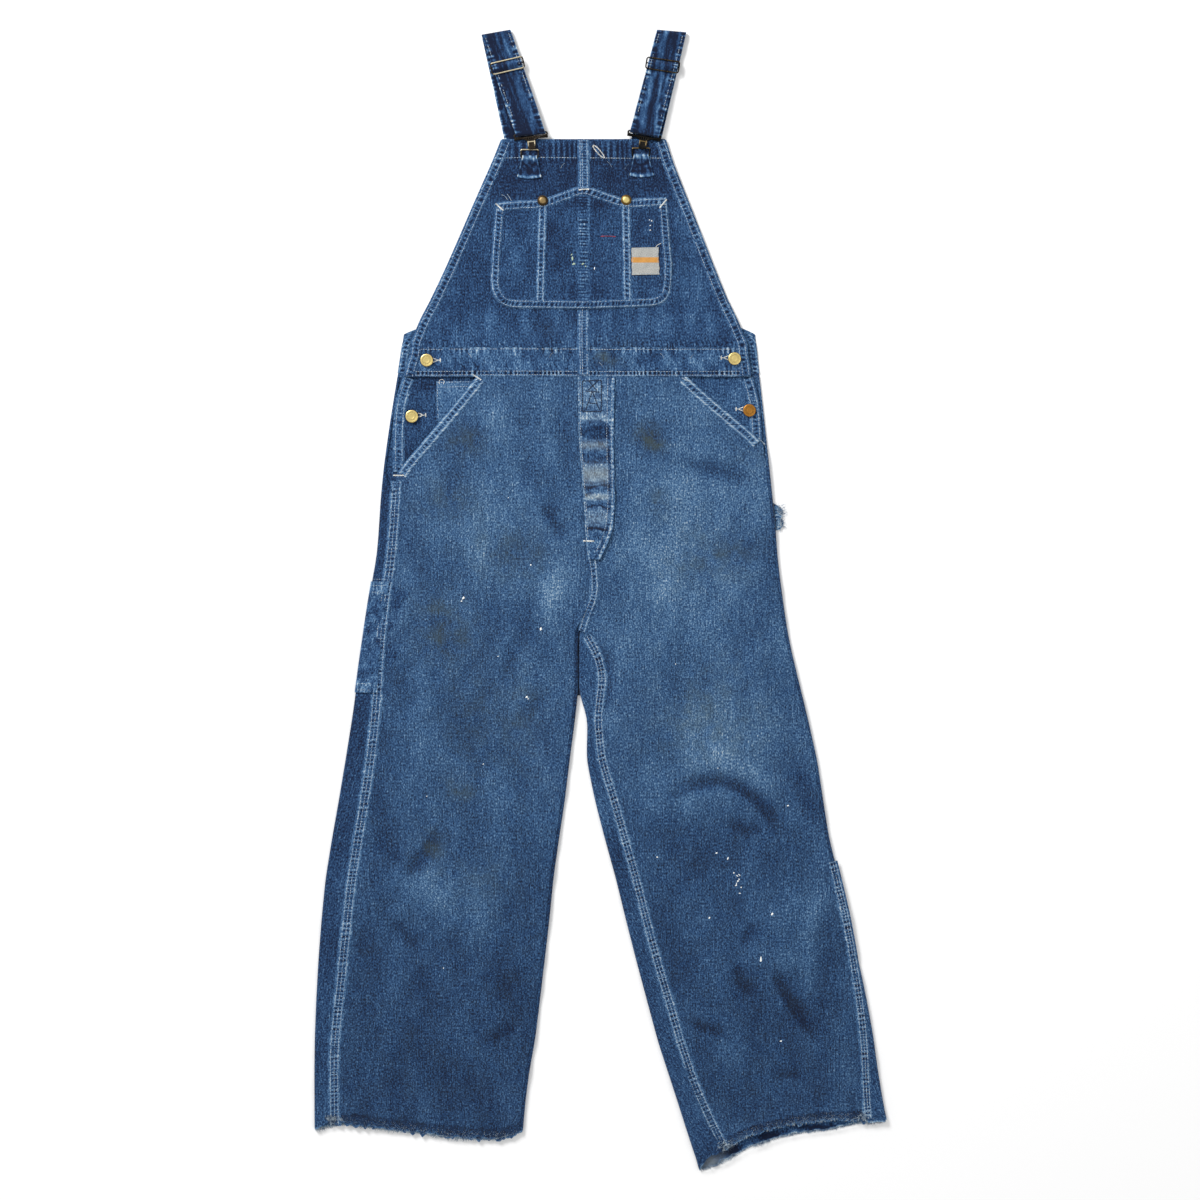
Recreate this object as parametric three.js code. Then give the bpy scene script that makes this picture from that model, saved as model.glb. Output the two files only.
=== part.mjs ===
// Denim bib dungarees, laid out flat with the front up: millimetres, +Z up, +Y towards the straps.
// Each cut piece of cloth is a closed wall of its own, with a small gap to its neighbours.
import * as THREE from 'three';

// ---- driving dimensions ----
const CLOTH = 1.2; // denim wall
const WEBBING = 1.4; // strap, two plies of denim
const GAP = 0.3; // between pieces at a seam
const ROLL = 2.7; // height of a turned edge that lies flat
const FOLD = 5.0; // height of a leg's folded side
const HIP_Z = 4.4; // underside of the front where pocket and fly layers lie beneath
const LEG_Z = 3.1; // underside of the front panel on the back panel
const BIB_Z = 1.8; // underside of the bib over the straps

const FRONT_TOP = 286.7; // waist seam, top of the trouser panels
const BAND_TOP = 324.3; // top of the front waistband
const FORK = -40.5; // the crotch
const LEG_END = -690; // nominal hem level, bent by each leg's own hem line
const HEM_START = -470; // the hem line's bend fades out above here

const STRAP_WIDTH = 38;
const STRAP_RADIUS = 2.3; // strap turned back on itself
const WIRE = 1.8; // buckle and slider wire
const BUTTON_RADIUS = 8.5;
const RIVET_RADIUS = 7;

// ---- finishes ----
const finish = (color, roughness, metalness = 0) => (
  new THREE.MeshStandardMaterial({ color, roughness, metalness })
);
const denim = finish(0x41628f, 0.9);
const darkDenim = finish(0x253a5e, 0.9);
const wovenLabel = finish(0xb9b9b4, 0.85);
const brass = finish(0xb08d4f, 0.35, 1);
const antiqueBrass = finish(0x6b5a3c, 0.45, 1);

const garment = new THREE.Group();

// ---- small geometry helpers ----

// A smooth curve through points given as [position, value], position falling or rising.
function through(points) {
  const list = [...points].sort((a, b) => a[0] - b[0]);
  const slope = (i) => {
    const a = list[Math.max(i - 1, 0)];
    const b = list[Math.min(i + 1, list.length - 1)];
    return (b[1] - a[1]) / (b[0] - a[0]);
  };
  return (at) => {
    if (at <= list[0][0]) return list[0][1];
    if (at >= list[list.length - 1][0]) return list[list.length - 1][1];
    const i = list.findIndex((p) => p[0] > at) - 1;
    const [x0, y0] = list[i];
    const [x1, y1] = list[i + 1];
    const h = x1 - x0;
    const s = (at - x0) / h;
    const hermite = (2 * s ** 3 - 3 * s ** 2 + 1) * y0 + (3 * s ** 2 - 2 * s ** 3) * y1;
    return hermite + h * ((s ** 3 - 2 * s ** 2 + s) * slope(i) + (s ** 3 - s ** 2) * slope(i + 1));
  };
}

const mix = THREE.MathUtils.lerp;
const smoothstep = (from, to, at) => {
  const s = THREE.MathUtils.clamp((at - from) / (to - from), 0, 1);
  return s * s * (3 - 2 * s);
};

function addMesh(name, geometry, material) {
  const mesh = new THREE.Mesh(geometry, material);
  mesh.name = name;
  garment.add(mesh);
  return mesh;
}

// A closed wall between two grids of points that match row by row.
function addWall(name, sideA, sideB, material) {
  const rows = sideA.length;
  const cols = sideA[0].length;
  const points = [...sideA.flat(), ...sideB.flat()];
  const at = (side, row, col) => (side * rows + row) * cols + col;
  const faces = [];
  const quad = (a, b, c, d) => faces.push([a, b, c], [a, c, d]);
  for (let r = 0; r + 1 < rows; r += 1) {
    for (let c = 0; c + 1 < cols; c += 1) {
      quad(at(0, r, c), at(0, r, c + 1), at(0, r + 1, c + 1), at(0, r + 1, c));
      faces.push([at(1, r, c), at(1, r + 1, c + 1), at(1, r, c + 1)]);
      faces.push([at(1, r, c), at(1, r + 1, c), at(1, r + 1, c + 1)]);
    }
    quad(at(0, r, 0), at(0, r + 1, 0), at(1, r + 1, 0), at(1, r, 0));
    const last = cols - 1;
    quad(at(0, r + 1, last), at(0, r, last), at(1, r, last), at(1, r + 1, last));
  }
  for (let c = 0; c + 1 < cols; c += 1) {
    quad(at(0, 0, c + 1), at(0, 0, c), at(1, 0, c), at(1, 0, c + 1));
    const last = rows - 1;
    quad(at(0, last, c), at(0, last, c + 1), at(1, last, c + 1), at(1, last, c));
  }
  const volume = faces.reduce((sum, [a, b, c]) => {
    const [p, q, r] = [points[a], points[b], points[c]];
    return sum + p.clone().cross(q).dot(r);
  }, 0);
  const turned = volume < 0 ? faces.map(([a, b, c]) => [a, c, b]) : faces;
  const geometry = new THREE.BufferGeometry();
  const xyz = points.flatMap((p) => [p.x, p.y, p.z]);
  geometry.setAttribute('position', new THREE.Float32BufferAttribute(xyz, 3));
  geometry.setIndex(turned.flat());
  geometry.computeVertexNormals();
  return addMesh(name, geometry, material);
}

// A flat-lying panel between a left and a right edge, level by level, on an underside height.
function addPanel(name, levels, columns, edges, underside, options = {}) {
  const { thickness = CLOTH, material = denim, shift = () => 0 } = options;
  const grid = (lift) => levels.map((y) => {
    const [left, right] = edges(y);
    return Array.from({ length: columns + 1 }, (_, i) => {
      const x = mix(left, right, i / columns);
      return new THREE.Vector3(x, y + shift(x, y), underside(x, y) + lift);
    });
  });
  return addWall(name, grid(thickness), grid(0), material);
}

// A flat plate of a given outline, with its underside at z.
function addPlate(name, shape, thickness, z, material, segments = 8) {
  const settings = { depth: thickness, bevelEnabled: false, curveSegments: segments };
  const geometry = new THREE.ExtrudeGeometry(shape, settings);
  geometry.translate(0, 0, z);
  return addMesh(name, geometry, material);
}

const outline = (points) => new THREE.Shape(points.map(([x, y]) => new THREE.Vector2(x, y)));

// ---- outlines of the legs, x against y ----
const leftOuter = through([
  [287, -260.3], [228, -269.9], [150, -280.1], [58, -286.8], [13, -294.8], [-73, -307.6],
  [-152, -318.5], [-258, -335.8], [-348, -351.3], [-408, -357.5], [-480, -362.7],
  [-573, -366.4], [-690, -366.4],
]);
const rightOuter = through([
  [288, 203.1], [244, 208.2], [172, 215.9], [91, 224.2], [53, 226.8], [2, 233.2],
  [-51, 241.5], [-108, 254.9], [-153, 265.8], [-218, 279.9], [-280, 288.2], [-322, 296.5],
  [-391, 315.1], [-472, 332.4], [-541, 346.4], [-595, 352.8], [-645, 359], [-690, 366.3],
]);
const leftInner = through([
  [-66, -29], [-121, -29], [-149, -32.4], [-203, -39.5], [-266, -47.2], [-341, -58.7],
  [-416, -66.4], [-491, -75.3], [-567, -84.3], [-623, -93.5], [-690, -99.6],
]);
const rightInner = through([
  [-66, -27.4], [-121, -27.4], [-150, -17], [-175, -21.2], [-203, -18.2], [-230, -13],
  [-277, -2.4], [-349, 17.6], [-414, 33.5], [-483, 51.4], [-560, 73.5], [-610, 94.5],
  [-652, 112.5], [-690, 127],
]);
const backSeam = through([[287, -20.3], [0, -20.3], [FORK, -28]]);
const frontSeam = through([[287, -14], [50, -11.3], [20, -8.1], [-19, -20.3], [FORK, -28]]);

// How far each back panel wraps round to the seam on the front.
const leftWrap = through([[132, 20.9], [26, 23], [-42, 23.7], [-111, 27.4], [-185, 31.6],
  [-341, 34], [-491, 31], [-567, 26], [-690, 26]]);
const rightWrap = through([[-320, 4.6], [-414, 6.5], [-480, 9], [-541, 13], [-606, 17], [-690, 25]]);
const rightInseam = through([
  [FORK, -23], [-64, -7.5], [-87, 1.5], [-129, -2.4], [-165, -5.2], [-203, 0.2], [-230, 9.2],
  [-299, 28.4], [-368, 47.6], [-445, 66.8], [-510, 86], [-576, 106], [-610, 120],
  [-652, 141], [-690, 159],
]);

// Slanted pocket mouths and the buttoned side openings above them.
const LEFT_SLANT_END = 161.7;
const RIGHT_SLANT_END = 201.3;
const leftSlant = through([[287, -157], [225, -208], [LEFT_SLANT_END, -262.5]]);
const rightSlant = through([[287, 108], [245, 156], [RIGHT_SLANT_END, 208.2]]);
const leftPlacket = through([[287, -251.5], [255, -262], [216, -264.8], [160, -264.8]]);
const rightPlacket = through([[287, 192], [262, 199.9], [226, 203.7], [200, 204.5]]);

const SEAM_EDGE = 4.6; // a seam that runs along the very side of a leg
const seamHeight = (y) => mix(HIP_Z + CLOTH, FOLD, smoothstep(120, 20, y)); // top of the seams
const foldHeight = (y, seamStart) => (y > seamStart ? ROLL : seamHeight(y));

// ---- legs: one description for the left and the right ----
const LEVELS = [FRONT_TOP, 255, 228, RIGHT_SLANT_END, 182, LEFT_SLANT_END, 128, 92, 58, 24.8,
  -10, FORK, -62, -88, -117.3, -152, -203, -254, -305, -356, -407, -458, -509, -560, -610,
  -652, LEG_END];
const POCKET_TOP = 24.8; // tool pocket on the left leg
const POCKET_END = -117.3;

const hemFade = (y) => smoothstep(HEM_START, LEG_END, y) ** 2;
const leftHem = through([[-366, 13], [-340, 20], [-288, 15], [-188, 3], [-120, 0], [-100, 11]]);
const rightHem = through([[127, -22], [151, -16], [173, -6], [231, 11], [281, 18], [366, 24]]);
const rightBackHem = through([[122, -18], [150, -15], [200, -8], [300, -5], [338, 0], [366, 0]]);

const LEGS = {
  left: {
    side: -1,
    outer: leftOuter,
    inner: (y) => (y > FORK ? backSeam(y) - 0.4 : leftInner(y)),
    outerWrap: (y) => (y > 130 ? ROLL / 2 + 1.5 : leftWrap(y)),
    innerWrap: (y) => (y > FORK ? ROLL / 2 + 1.5 : SEAM_EDGE),
    frontOuter: (y) => (y > LEFT_SLANT_END - 1 ? leftSlant(y) : leftOuter(y) + leftWrap(y)),
    frontInner: (y) => (y > FORK + 1 ? frontSeam(y) - GAP / 2 : leftInner(y) - SEAM_EDGE),
    seamStart: 130,
    hem: leftHem,
    backHem: () => 0,
    lift: (x, y) => {
      const across = x < leftOuter(y) + 90;
      return across && y < POCKET_TOP + 1 && y > POCKET_END - 1 ? CLOTH + GAP : 0;
    },
  },
  right: {
    side: 1,
    outer: rightOuter,
    inner: (y) => (y > FORK ? backSeam(y) + 0.4 : rightInner(y)),
    outerWrap: (y) => (y > 190 ? ROLL / 2 + 1.5 : rightWrap(y)),
    innerWrap: (y) => (y > FORK ? ROLL / 2 + 1.5 : rightInseam(y) - rightInner(y)),
    frontOuter: (y) => (y > RIGHT_SLANT_END - 1 ? rightSlant(y) : rightOuter(y) - rightWrap(y)),
    frontInner: (y) => (y > FORK + 1 ? frontSeam(y) + GAP / 2 : rightInseam(y)),
    seamStart: 190,
    hem: rightHem,
    backHem: rightBackHem,
    lift: () => 0,
  },
};

// The largest folds of the front: a line across the cloth, its height and half width.
const FOLDS = [
  { from: [-70, 50], to: [-130, -130], height: 3, width: 22 },
  { from: [-40, 5], to: [-95, 20], height: 2, width: 20 },
  { from: [-300, -350], to: [-175, -385], height: 5, width: 32 },
  { from: [-215, -120], to: [-235, -300], height: 3, width: 35 },
  { from: [-90, -330], to: [-150, -560], height: 3, width: 35 },
  { from: [75, -250], to: [170, -225], height: 4, width: 26 },
  { from: [170, -225], to: [230, -300], height: 4, width: 24 },
  { from: [285, -375], to: [215, -470], height: 5, width: 22 },
  { from: [215, -470], to: [300, -590], height: 4, width: 26 },
  { from: [60, -60], to: [25, -230], height: 4, width: 22 },
  { from: [170, 30], to: [205, -150], height: 3, width: 30 },
  { from: [120, -420], to: [175, -620], height: 3, width: 28 },
];
function foldLift(x, y) {
  return FOLDS.reduce((sum, { from, to, height, width }) => {
    const along = new THREE.Vector2(to[0] - from[0], to[1] - from[1]);
    const length = along.length();
    along.divideScalar(length);
    const [dx, dy] = [x - from[0], y - from[1]];
    const run = dx * along.x + dy * along.y;
    const off = (dx * along.y - dy * along.x) / width;
    const past = Math.max(0, -run, run - length) / width;
    return sum + height * Math.exp(-(off ** 2) - past ** 2);
  }, 0);
}

// Underside of a front panel: level with the folded sides at its seams, lower between them.
const EDGE_RUN = 34; // distance over which the front comes down from its seams
function frontUnderside(leg) {
  return (x, y) => {
    const base = mix(LEG_Z, HIP_Z, smoothstep(20, 110, y));
    const clear = 1 - smoothstep(20, 70, y);
    const toOuter = Math.abs(x - leg.frontOuter(y)) / EDGE_RUN;
    const toInner = Math.abs(x - leg.frontInner(y)) / EDGE_RUN;
    const seam = seamHeight(y) - CLOTH;
    const free = base + clear * foldLift(x, y);
    const held = Math.min(1, Math.exp(-(toOuter ** 2)) + Math.exp(-(toInner ** 2)));
    return mix(free, Math.max(base, seam), held);
  };
}

// The wall of a back panel at one level: from the seam, round the side, under, and up inside.
const ARC_STEPS = 4;
const UNDER_STEPS = 7;
function backPath(leg, y) {
  const { side } = leg;
  const low = (x) => leg.lift(x, y) + CLOTH / 2;
  const turn = (edge, top, dir) => {
    const radius = (top - low(edge)) / 2;
    const centre = edge - dir * (CLOTH / 2 + radius);
    return Array.from({ length: ARC_STEPS + 1 }, (_, i) => {
      const angle = Math.PI / 2 - (Math.PI * i) / ARC_STEPS;
      return [centre + dir * radius * Math.cos(angle), low(edge) + radius + radius * Math.sin(angle)];
    });
  };
  const outerTop = foldHeight(y, leg.seamStart) - CLOTH / 2;
  const innerTop = mix(ROLL, FOLD, smoothstep(FORK, FORK - 20, y)) - CLOTH / 2;
  const outerArc = turn(leg.outer(y), outerTop, side);
  const innerArc = turn(leg.inner(y), innerTop, -side).reverse();
  const outerSeam = leg.outer(y) - side * (leg.outerWrap(y) - GAP);
  const innerSeam = leg.inner(y) + side * (leg.innerWrap(y) - GAP);
  const start = outerArc[ARC_STEPS][0];
  const end = innerArc[0][0];
  const under = Array.from({ length: UNDER_STEPS - 1 }, (_, i) => {
    const x = mix(start, end, (i + 1) / UNDER_STEPS);
    return [x, low(x)];
  });
  const outerMid = (outerSeam + outerArc[0][0]) / 2;
  const innerMid = (innerSeam + innerArc[ARC_STEPS][0]) / 2;
  return [[outerSeam, outerTop], [outerMid, outerTop], ...outerArc, ...under, ...innerArc,
    [innerMid, innerTop], [innerSeam, innerTop]];
}

// Points of a path moved out from the leg's hollow by a distance.
function offsetPath(path, side, distance) {
  return path.map(([x, z], i) => {
    const before = path[Math.max(i - 1, 0)];
    const after = path[Math.min(i + 1, path.length - 1)];
    const run = new THREE.Vector2(after[0] - before[0], after[1] - before[1]).normalize();
    return [x - side * run.y * distance, z + side * run.x * distance];
  });
}

function legGrid(leg, levels, distance, keep = (path) => path) {
  return levels.map((y) => keep(offsetPath(backPath(leg, y), leg.side, distance)).map(([x, z]) => {
    const fade = hemFade(y);
    return new THREE.Vector3(x, y + fade * (leg.hem(x) + leg.backHem(x)), z);
  }));
}

for (const [name, leg] of Object.entries(LEGS)) {
  const half = CLOTH / 2;
  addWall(`back_leg_${name}`, legGrid(leg, LEVELS, half), legGrid(leg, LEVELS, -half), denim);
  const edges = (y) => [leg.frontOuter(y), leg.frontInner(y)];
  const shift = (x, y) => hemFade(y) * leg.hem(x);
  addPanel(`front_leg_${name}`, LEVELS, 11, edges, frontUnderside(leg), { shift });
}

// ---- tool pocket: sewn on the left back panel, round its side ----
const POCKET_POINTS = 9; // how far round the side and under it reaches
const pocketLevels = LEVELS.filter((y) => y <= POCKET_TOP && y >= POCKET_END);
const pocketPart = (path) => path.slice(0, POCKET_POINTS);
const pocketIn = CLOTH / 2 + GAP;
addWall(
  'tool_pocket',
  legGrid(LEGS.left, pocketLevels, pocketIn + CLOTH, pocketPart),
  legGrid(LEGS.left, pocketLevels, pocketIn, pocketPart),
  denim,
);

// ---- torn scrap at the right hip, a loose rag of the back panel ----
const scrapEdge = (y) => rightOuter(y) + GAP;
const scrap = [
  [scrapEdge(125), 125], [scrapEdge(90), 90], [229, 91], [236, 99], [229.5, 107], [235, 113],
  [230, 120],
];
addPlate('torn_scrap', outline(scrap), CLOTH, GAP, denim);

// ---- front of the hips: pocket facings, watch pocket, fly ----
const FACING_Z = CLOTH + GAP;
const WATCH_Z = FACING_Z + CLOTH + GAP;
const FACING_UNDER = 16; // the facing runs on under the pocket mouth
const leftFacingLevels = [FRONT_TOP, 255, 228, RIGHT_SLANT_END, LEFT_SLANT_END];
addPanel('pocket_facing_left', leftFacingLevels, 2,
  (y) => [leftPlacket(y), leftSlant(y) + FACING_UNDER], () => FACING_Z);
const rightFacingLevels = [FRONT_TOP, 255, 228, RIGHT_SLANT_END];
addPanel('pocket_facing_right', rightFacingLevels, 2,
  (y) => [rightSlant(y) - FACING_UNDER, rightPlacket(y)], () => FACING_Z);

const WATCH_POCKET = { left: -210.5, right: -152, top: 281, bottom: 226 };
const { left: watchLeft, right: watchRight, top: watchTop, bottom: watchBottom } = WATCH_POCKET;
const watchOutline = outline([[watchLeft, watchBottom + 5], [watchLeft + 5, watchBottom],
  [watchRight, watchBottom], [watchRight, watchTop], [watchLeft, watchTop]]);
addPlate('watch_pocket', watchOutline, CLOTH, WATCH_Z, denim);

const FRONT_Z = HIP_Z + CLOTH; // top of the flat stretch of the front
const flyLeft = through([[FRONT_TOP, -28.9], [214, -28], [177, -25.4], [130, -21.6], [84, -19],
  [53, -15.7]]);
const flyRight = through([[FRONT_TOP, 18.1], [233, 16.2], [121, 18.1], [93, 15.6], [73, 9.2],
  [53, -1.1]]);
const FLY_LEVELS = [FRONT_TOP, 214, 150, 121, 93, 73, 53];
addPanel('fly_facing', FLY_LEVELS, 3, (y) => [flyLeft(y), flyRight(y)],
  (x, y) => Math.max(FRONT_Z, mix(LEG_Z, HIP_Z, smoothstep(20, 110, y)) + CLOTH) + GAP);

// ---- waistband: one strip over the bib's foot and the trouser panels' top ----
const BAND_BOTTOM = FRONT_TOP + GAP;
const bandEdges = (y) => [mix(-251.5, -243, (y - BAND_BOTTOM) / (BAND_TOP - BAND_BOTTOM)),
  mix(192, 187.5, (y - BAND_BOTTOM) / (BAND_TOP - BAND_BOTTOM))];
addPanel('waistband_front', [BAND_TOP, 306, BAND_BOTTOM], 8, bandEdges, () => HIP_Z);

// ---- back yoke: rises under the bib to the straps ----
const YOKE_TOP = 442;
const YOKE_BOTTOM = FRONT_TOP + GAP;
const yoke = outline([
  [-260.2, YOKE_BOTTOM], [203.1, YOKE_BOTTOM], [197.5, 342.5], [188, 346], [150, 362],
  [95, 402], [52, YOKE_TOP], [-100, YOKE_TOP], [-140, 402], [-192, 364], [-240, 346.5], [-252, 342],
]);
addPlate('back_yoke', yoke, CLOTH, 0, denim);

// ---- bib: two halves joined by a seam down the middle ----
const BIB_FOOT = BAND_TOP + GAP;
const BIB_SEAM = -21.6;
const bibLeft = through([[591, -126], [563.6, -136.8], [513.7, -159.2], [438, -191.8],
  [383, -217.4], [343.5, -237.9], [BIB_FOOT, -243]]);
const bibRight = through([[591, 82], [562, 91.1], [494.5, 118], [419, 147.4], [370.4, 167.9],
  [346, 180.7], [BIB_FOOT, 187.5]]);
const BIB_LEVELS = [591, 563.6, 520, 475, 430, 400, 371, 348, BIB_FOOT];
const bibUnderside = (x, y) => mix(HIP_Z, BIB_Z, smoothstep(BIB_FOOT, 370, y));
addPanel('bib_left', BIB_LEVELS, 3, (y) => [bibLeft(y), BIB_SEAM - GAP / 2], bibUnderside);
addPanel('bib_right', BIB_LEVELS, 3, (y) => [BIB_SEAM + GAP / 2, bibRight(y)], bibUnderside);

// Bib pocket: its mouth rises to a point on the middle seam, its lower corners are round.
const BIB_TOP_Z = BIB_Z + CLOTH;
const POCKET_Z = BIB_TOP_Z + GAP;
const bibPocket = new THREE.Shape();
bibPocket.moveTo(-134, 508.5);
bibPocket.lineTo(-74.5, 512.5);
bibPocket.lineTo(-27, 529.5);
bibPocket.lineTo(-14, 528.5);
bibPocket.lineTo(32.5, 513);
bibPocket.lineTo(84.5, 515.3);
bibPocket.lineTo(91.5, 428);
bibPocket.lineTo(90.5, 404);
bibPocket.quadraticCurveTo(90, 380, 66, 377);
bibPocket.lineTo(-20, 373.5);
bibPocket.lineTo(-112, 375);
bibPocket.quadraticCurveTo(-139.5, 378, -140.6, 407);
bibPocket.lineTo(-138.6, 448);
bibPocket.closePath();
addPlate('bib_pocket', bibPocket, CLOTH, POCKET_Z, denim, 6);

const LABEL_Z = POCKET_Z + CLOTH + GAP;
const LABEL_SIZE = 35;
const LABEL_CLOTH = 1;
const labelSquare = outline([[-0.5, -0.5], [0.5, -0.5], [0.5, 0.5], [-0.5, 0.5]].map((corner) => (
  corner.map((value) => value * LABEL_SIZE)
)));
const patch = addPlate('label_patch', labelSquare, LABEL_CLOTH, 0, wovenLabel);
patch.position.set(57, 434.5, LABEL_Z);
patch.rotation.z = 0.02;

// ---- straps: up the back, folded over at the top, down the front and round the buckle ----
const DEGREE = Math.PI / 180;
const arc = (centre, radius, from, to, steps = 6) => Array.from({ length: steps + 1 }, (_, i) => {
  const angle = DEGREE * mix(from, to, i / steps);
  return [centre[0] + radius * Math.cos(angle), centre[1] + radius * Math.sin(angle)];
});
const BACK_RUN_Z = WEBBING / 2;
const FRONT_RUN_Z = BACK_RUN_Z + 2 * STRAP_RADIUS; // front run just past the top fold
const BAR_Z = 6.4; // middle of the buckle's bar
const SLIDER_Z = 7.2; // middle of the slider
const SLIDER_AT = 46; // from the top fold to the slider's middle bar
const SLIDER_HALF = 7.2; // from its middle bar to an outer bar
const BAR_DROP = WIRE / 2 + WEBBING / 2 + 0.4; // strap under or over a bar
const STRAP_ROOT = YOKE_TOP + 4.6; // the slanted end stays clear of the yoke
const STRAPS = {
  left: { top: [-134.2, 727.5], yoke: [-72.8, STRAP_ROOT], buckle: [-88.8, 594.4],
    topTilt: 10, sliderTilt: 13, endTilt: 6 },
  right: { top: [91, 729], yoke: [24.5, STRAP_ROOT], buckle: [55.5, 594.6],
    topTilt: -5, sliderTilt: -8.5, endTilt: -10 },
};

function strapPath(backLength, frontLength) {
  const fold = arc([STRAP_RADIUS, BACK_RUN_Z + STRAP_RADIUS], STRAP_RADIUS, -90, -270);
  const end = frontLength - STRAP_RADIUS - WEBBING / 2;
  const loop = arc([end, BAR_Z], STRAP_RADIUS, 90, -90);
  const outer = SLIDER_AT - SLIDER_HALF;
  const front = [
    [outer - 9, FRONT_RUN_Z], [outer - 1, SLIDER_Z - BAR_DROP], [outer + 1, SLIDER_Z - BAR_DROP],
    [SLIDER_AT - 1.2, SLIDER_Z + BAR_DROP], [SLIDER_AT + 1.2, SLIDER_Z + BAR_DROP],
    [outer + 2 * SLIDER_HALF - 1, SLIDER_Z - BAR_DROP],
    [outer + 2 * SLIDER_HALF + 1, SLIDER_Z - BAR_DROP],
    [SLIDER_AT + 26, FRONT_RUN_Z + 0.9], [end - 22, BAR_Z + STRAP_RADIUS - 1],
  ];
  const returned = [[end - 18, BAR_Z - STRAP_RADIUS - 1], [end - 40, 3], [SLIDER_AT + 16, 2.9]];
  return {
    back: [[backLength, BACK_RUN_Z], [backLength * 0.75, BACK_RUN_Z], [backLength / 2, BACK_RUN_Z],
      [backLength / 4, BACK_RUN_Z]],
    fold,
    front: [...front, ...loop, ...returned],
  };
}

const TILT_RUN = 25; // the tilt of the top fold and of the buckle fades out over this length
const SLIDER_RUN = 28; // and the tilt of the slider to both sides of it
for (const [name, strap] of Object.entries(STRAPS)) {
  const { top, yoke: root, buckle, topTilt, sliderTilt, endTilt } = strap;
  const start = new THREE.Vector2(...top);
  const backRun = new THREE.Vector2(...root).sub(start);
  const frontRun = new THREE.Vector2(...buckle).sub(start);
  const path = strapPath(backRun.length(), frontRun.length());
  const place = (run, tilts) => ([along, z]) => {
    const square = Math.atan2(run.x, -run.y);
    let turn = mix(topTilt * DEGREE, square, smoothstep(0, TILT_RUN, along));
    if (tilts) {
      const past = Math.abs(along - SLIDER_AT);
      turn = mix(tilts.slider * DEGREE, turn, smoothstep(SLIDER_RUN / 2, SLIDER_RUN, past));
      const last = smoothstep(run.length() - 2 * TILT_RUN, run.length() - 8, along);
      turn = mix(turn, tilts.end * DEGREE, last);
    }
    return { run: run.clone().normalize(), along, z, turn };
  };
  const half = path.fold.length / 2;
  const stations = [
    ...path.back.map(place(backRun)),
    ...path.fold.slice(0, half).map(place(backRun)),
    ...path.fold.slice(half).map(place(frontRun)),
    ...path.front.map(place(frontRun, { slider: sliderTilt, end: endTilt })),
  ];
  const side = (offset) => stations.map((at, i) => {
    const before = stations[Math.max(i - 1, 0)];
    const after = stations[Math.min(i + 1, stations.length - 1)];
    const tangent = new THREE.Vector2(after.along - before.along, after.z - before.z).normalize();
    const along = at.along - tangent.y * offset;
    const z = at.z + tangent.x * offset;
    return [-0.5, 0.5].map((edge) => new THREE.Vector3(
      start.x + at.run.x * along + edge * STRAP_WIDTH * Math.cos(at.turn),
      start.y + at.run.y * along + edge * STRAP_WIDTH * Math.sin(at.turn),
      z,
    ));
  });
  addWall(`strap_${name}`, side(WEBBING / 2), side(-WEBBING / 2), darkDenim);
}

// ---- strap hardware: a slider on each front run, a buckle hooked to a ring in the bib's tab ----
// Where a strap's front run starts, its direction and its length.
const onStrap = ({ top, buckle }) => {
  const start = new THREE.Vector2(...top);
  const run = new THREE.Vector2(...buckle).sub(start);
  return { start, run: run.clone().normalize(), length: run.length() };
};

function frame(name, strap, v, z, turn, outer, holes) {
  const { start, run } = onStrap(strap);
  const shape = outline(outer);
  holes.forEach((hole) => shape.holes.push(outline(hole)));
  const mesh = addPlate(name, shape, WIRE, 0, antiqueBrass);
  mesh.rotation.z = turn;
  mesh.position.set(start.x + run.x * v, start.y + run.y * v, z - WIRE / 2);
}

// A closed outline from its right half, listed upwards.
const mirrored = (half) => [...half, ...half.map(([x, y]) => [-x, y]).reverse()];
const box = (halfWidth, low, high) => mirrored([[halfWidth, low], [halfWidth, high]]);
const FRAME_HALF = STRAP_WIDTH / 2 + 1.2 + WIRE; // half width of slider and buckle
const INSIDE = FRAME_HALF - WIRE;
const sliderOuter = mirrored([[FRAME_HALF - 1, -SLIDER_HALF - WIRE / 2],
  [FRAME_HALF, 1 - SLIDER_HALF - WIRE / 2], [FRAME_HALF, SLIDER_HALF + WIRE / 2 - 1],
  [FRAME_HALF - 1, SLIDER_HALF + WIRE / 2]]);
const sliderSlots = [-SLIDER_HALF, 0].map((low) => (
  box(INSIDE, low + WIRE / 2, low + SLIDER_HALF - WIRE / 2)
));
const NECK = 5; // half width of the buckle's neck
const NECK_END = 20.5;
const SHOULDER = 3.7; // below the bar, clear of the strap's loop
const buckleOuter = mirrored([[NECK - 1, -NECK_END], [NECK, 1 - NECK_END], [NECK, -SHOULDER - 5],
  [NECK + 6, -SHOULDER - 2.6], [FRAME_HALF, -SHOULDER - 1], [FRAME_HALF, WIRE / 2]]);
const buckleHole = mirrored([[NECK - WIRE, WIRE - NECK_END], [NECK - WIRE, -SHOULDER - 0.6],
  [INSIDE, -SHOULDER], [INSIDE, -WIRE / 2]]);
const RING_Z = BIB_TOP_Z + GAP + WIRE / 2;
const RINGS = { left: [-91, 572.5], right: [51.6, 574.5] };
const RING_HALF = [12, 5.8];

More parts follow.
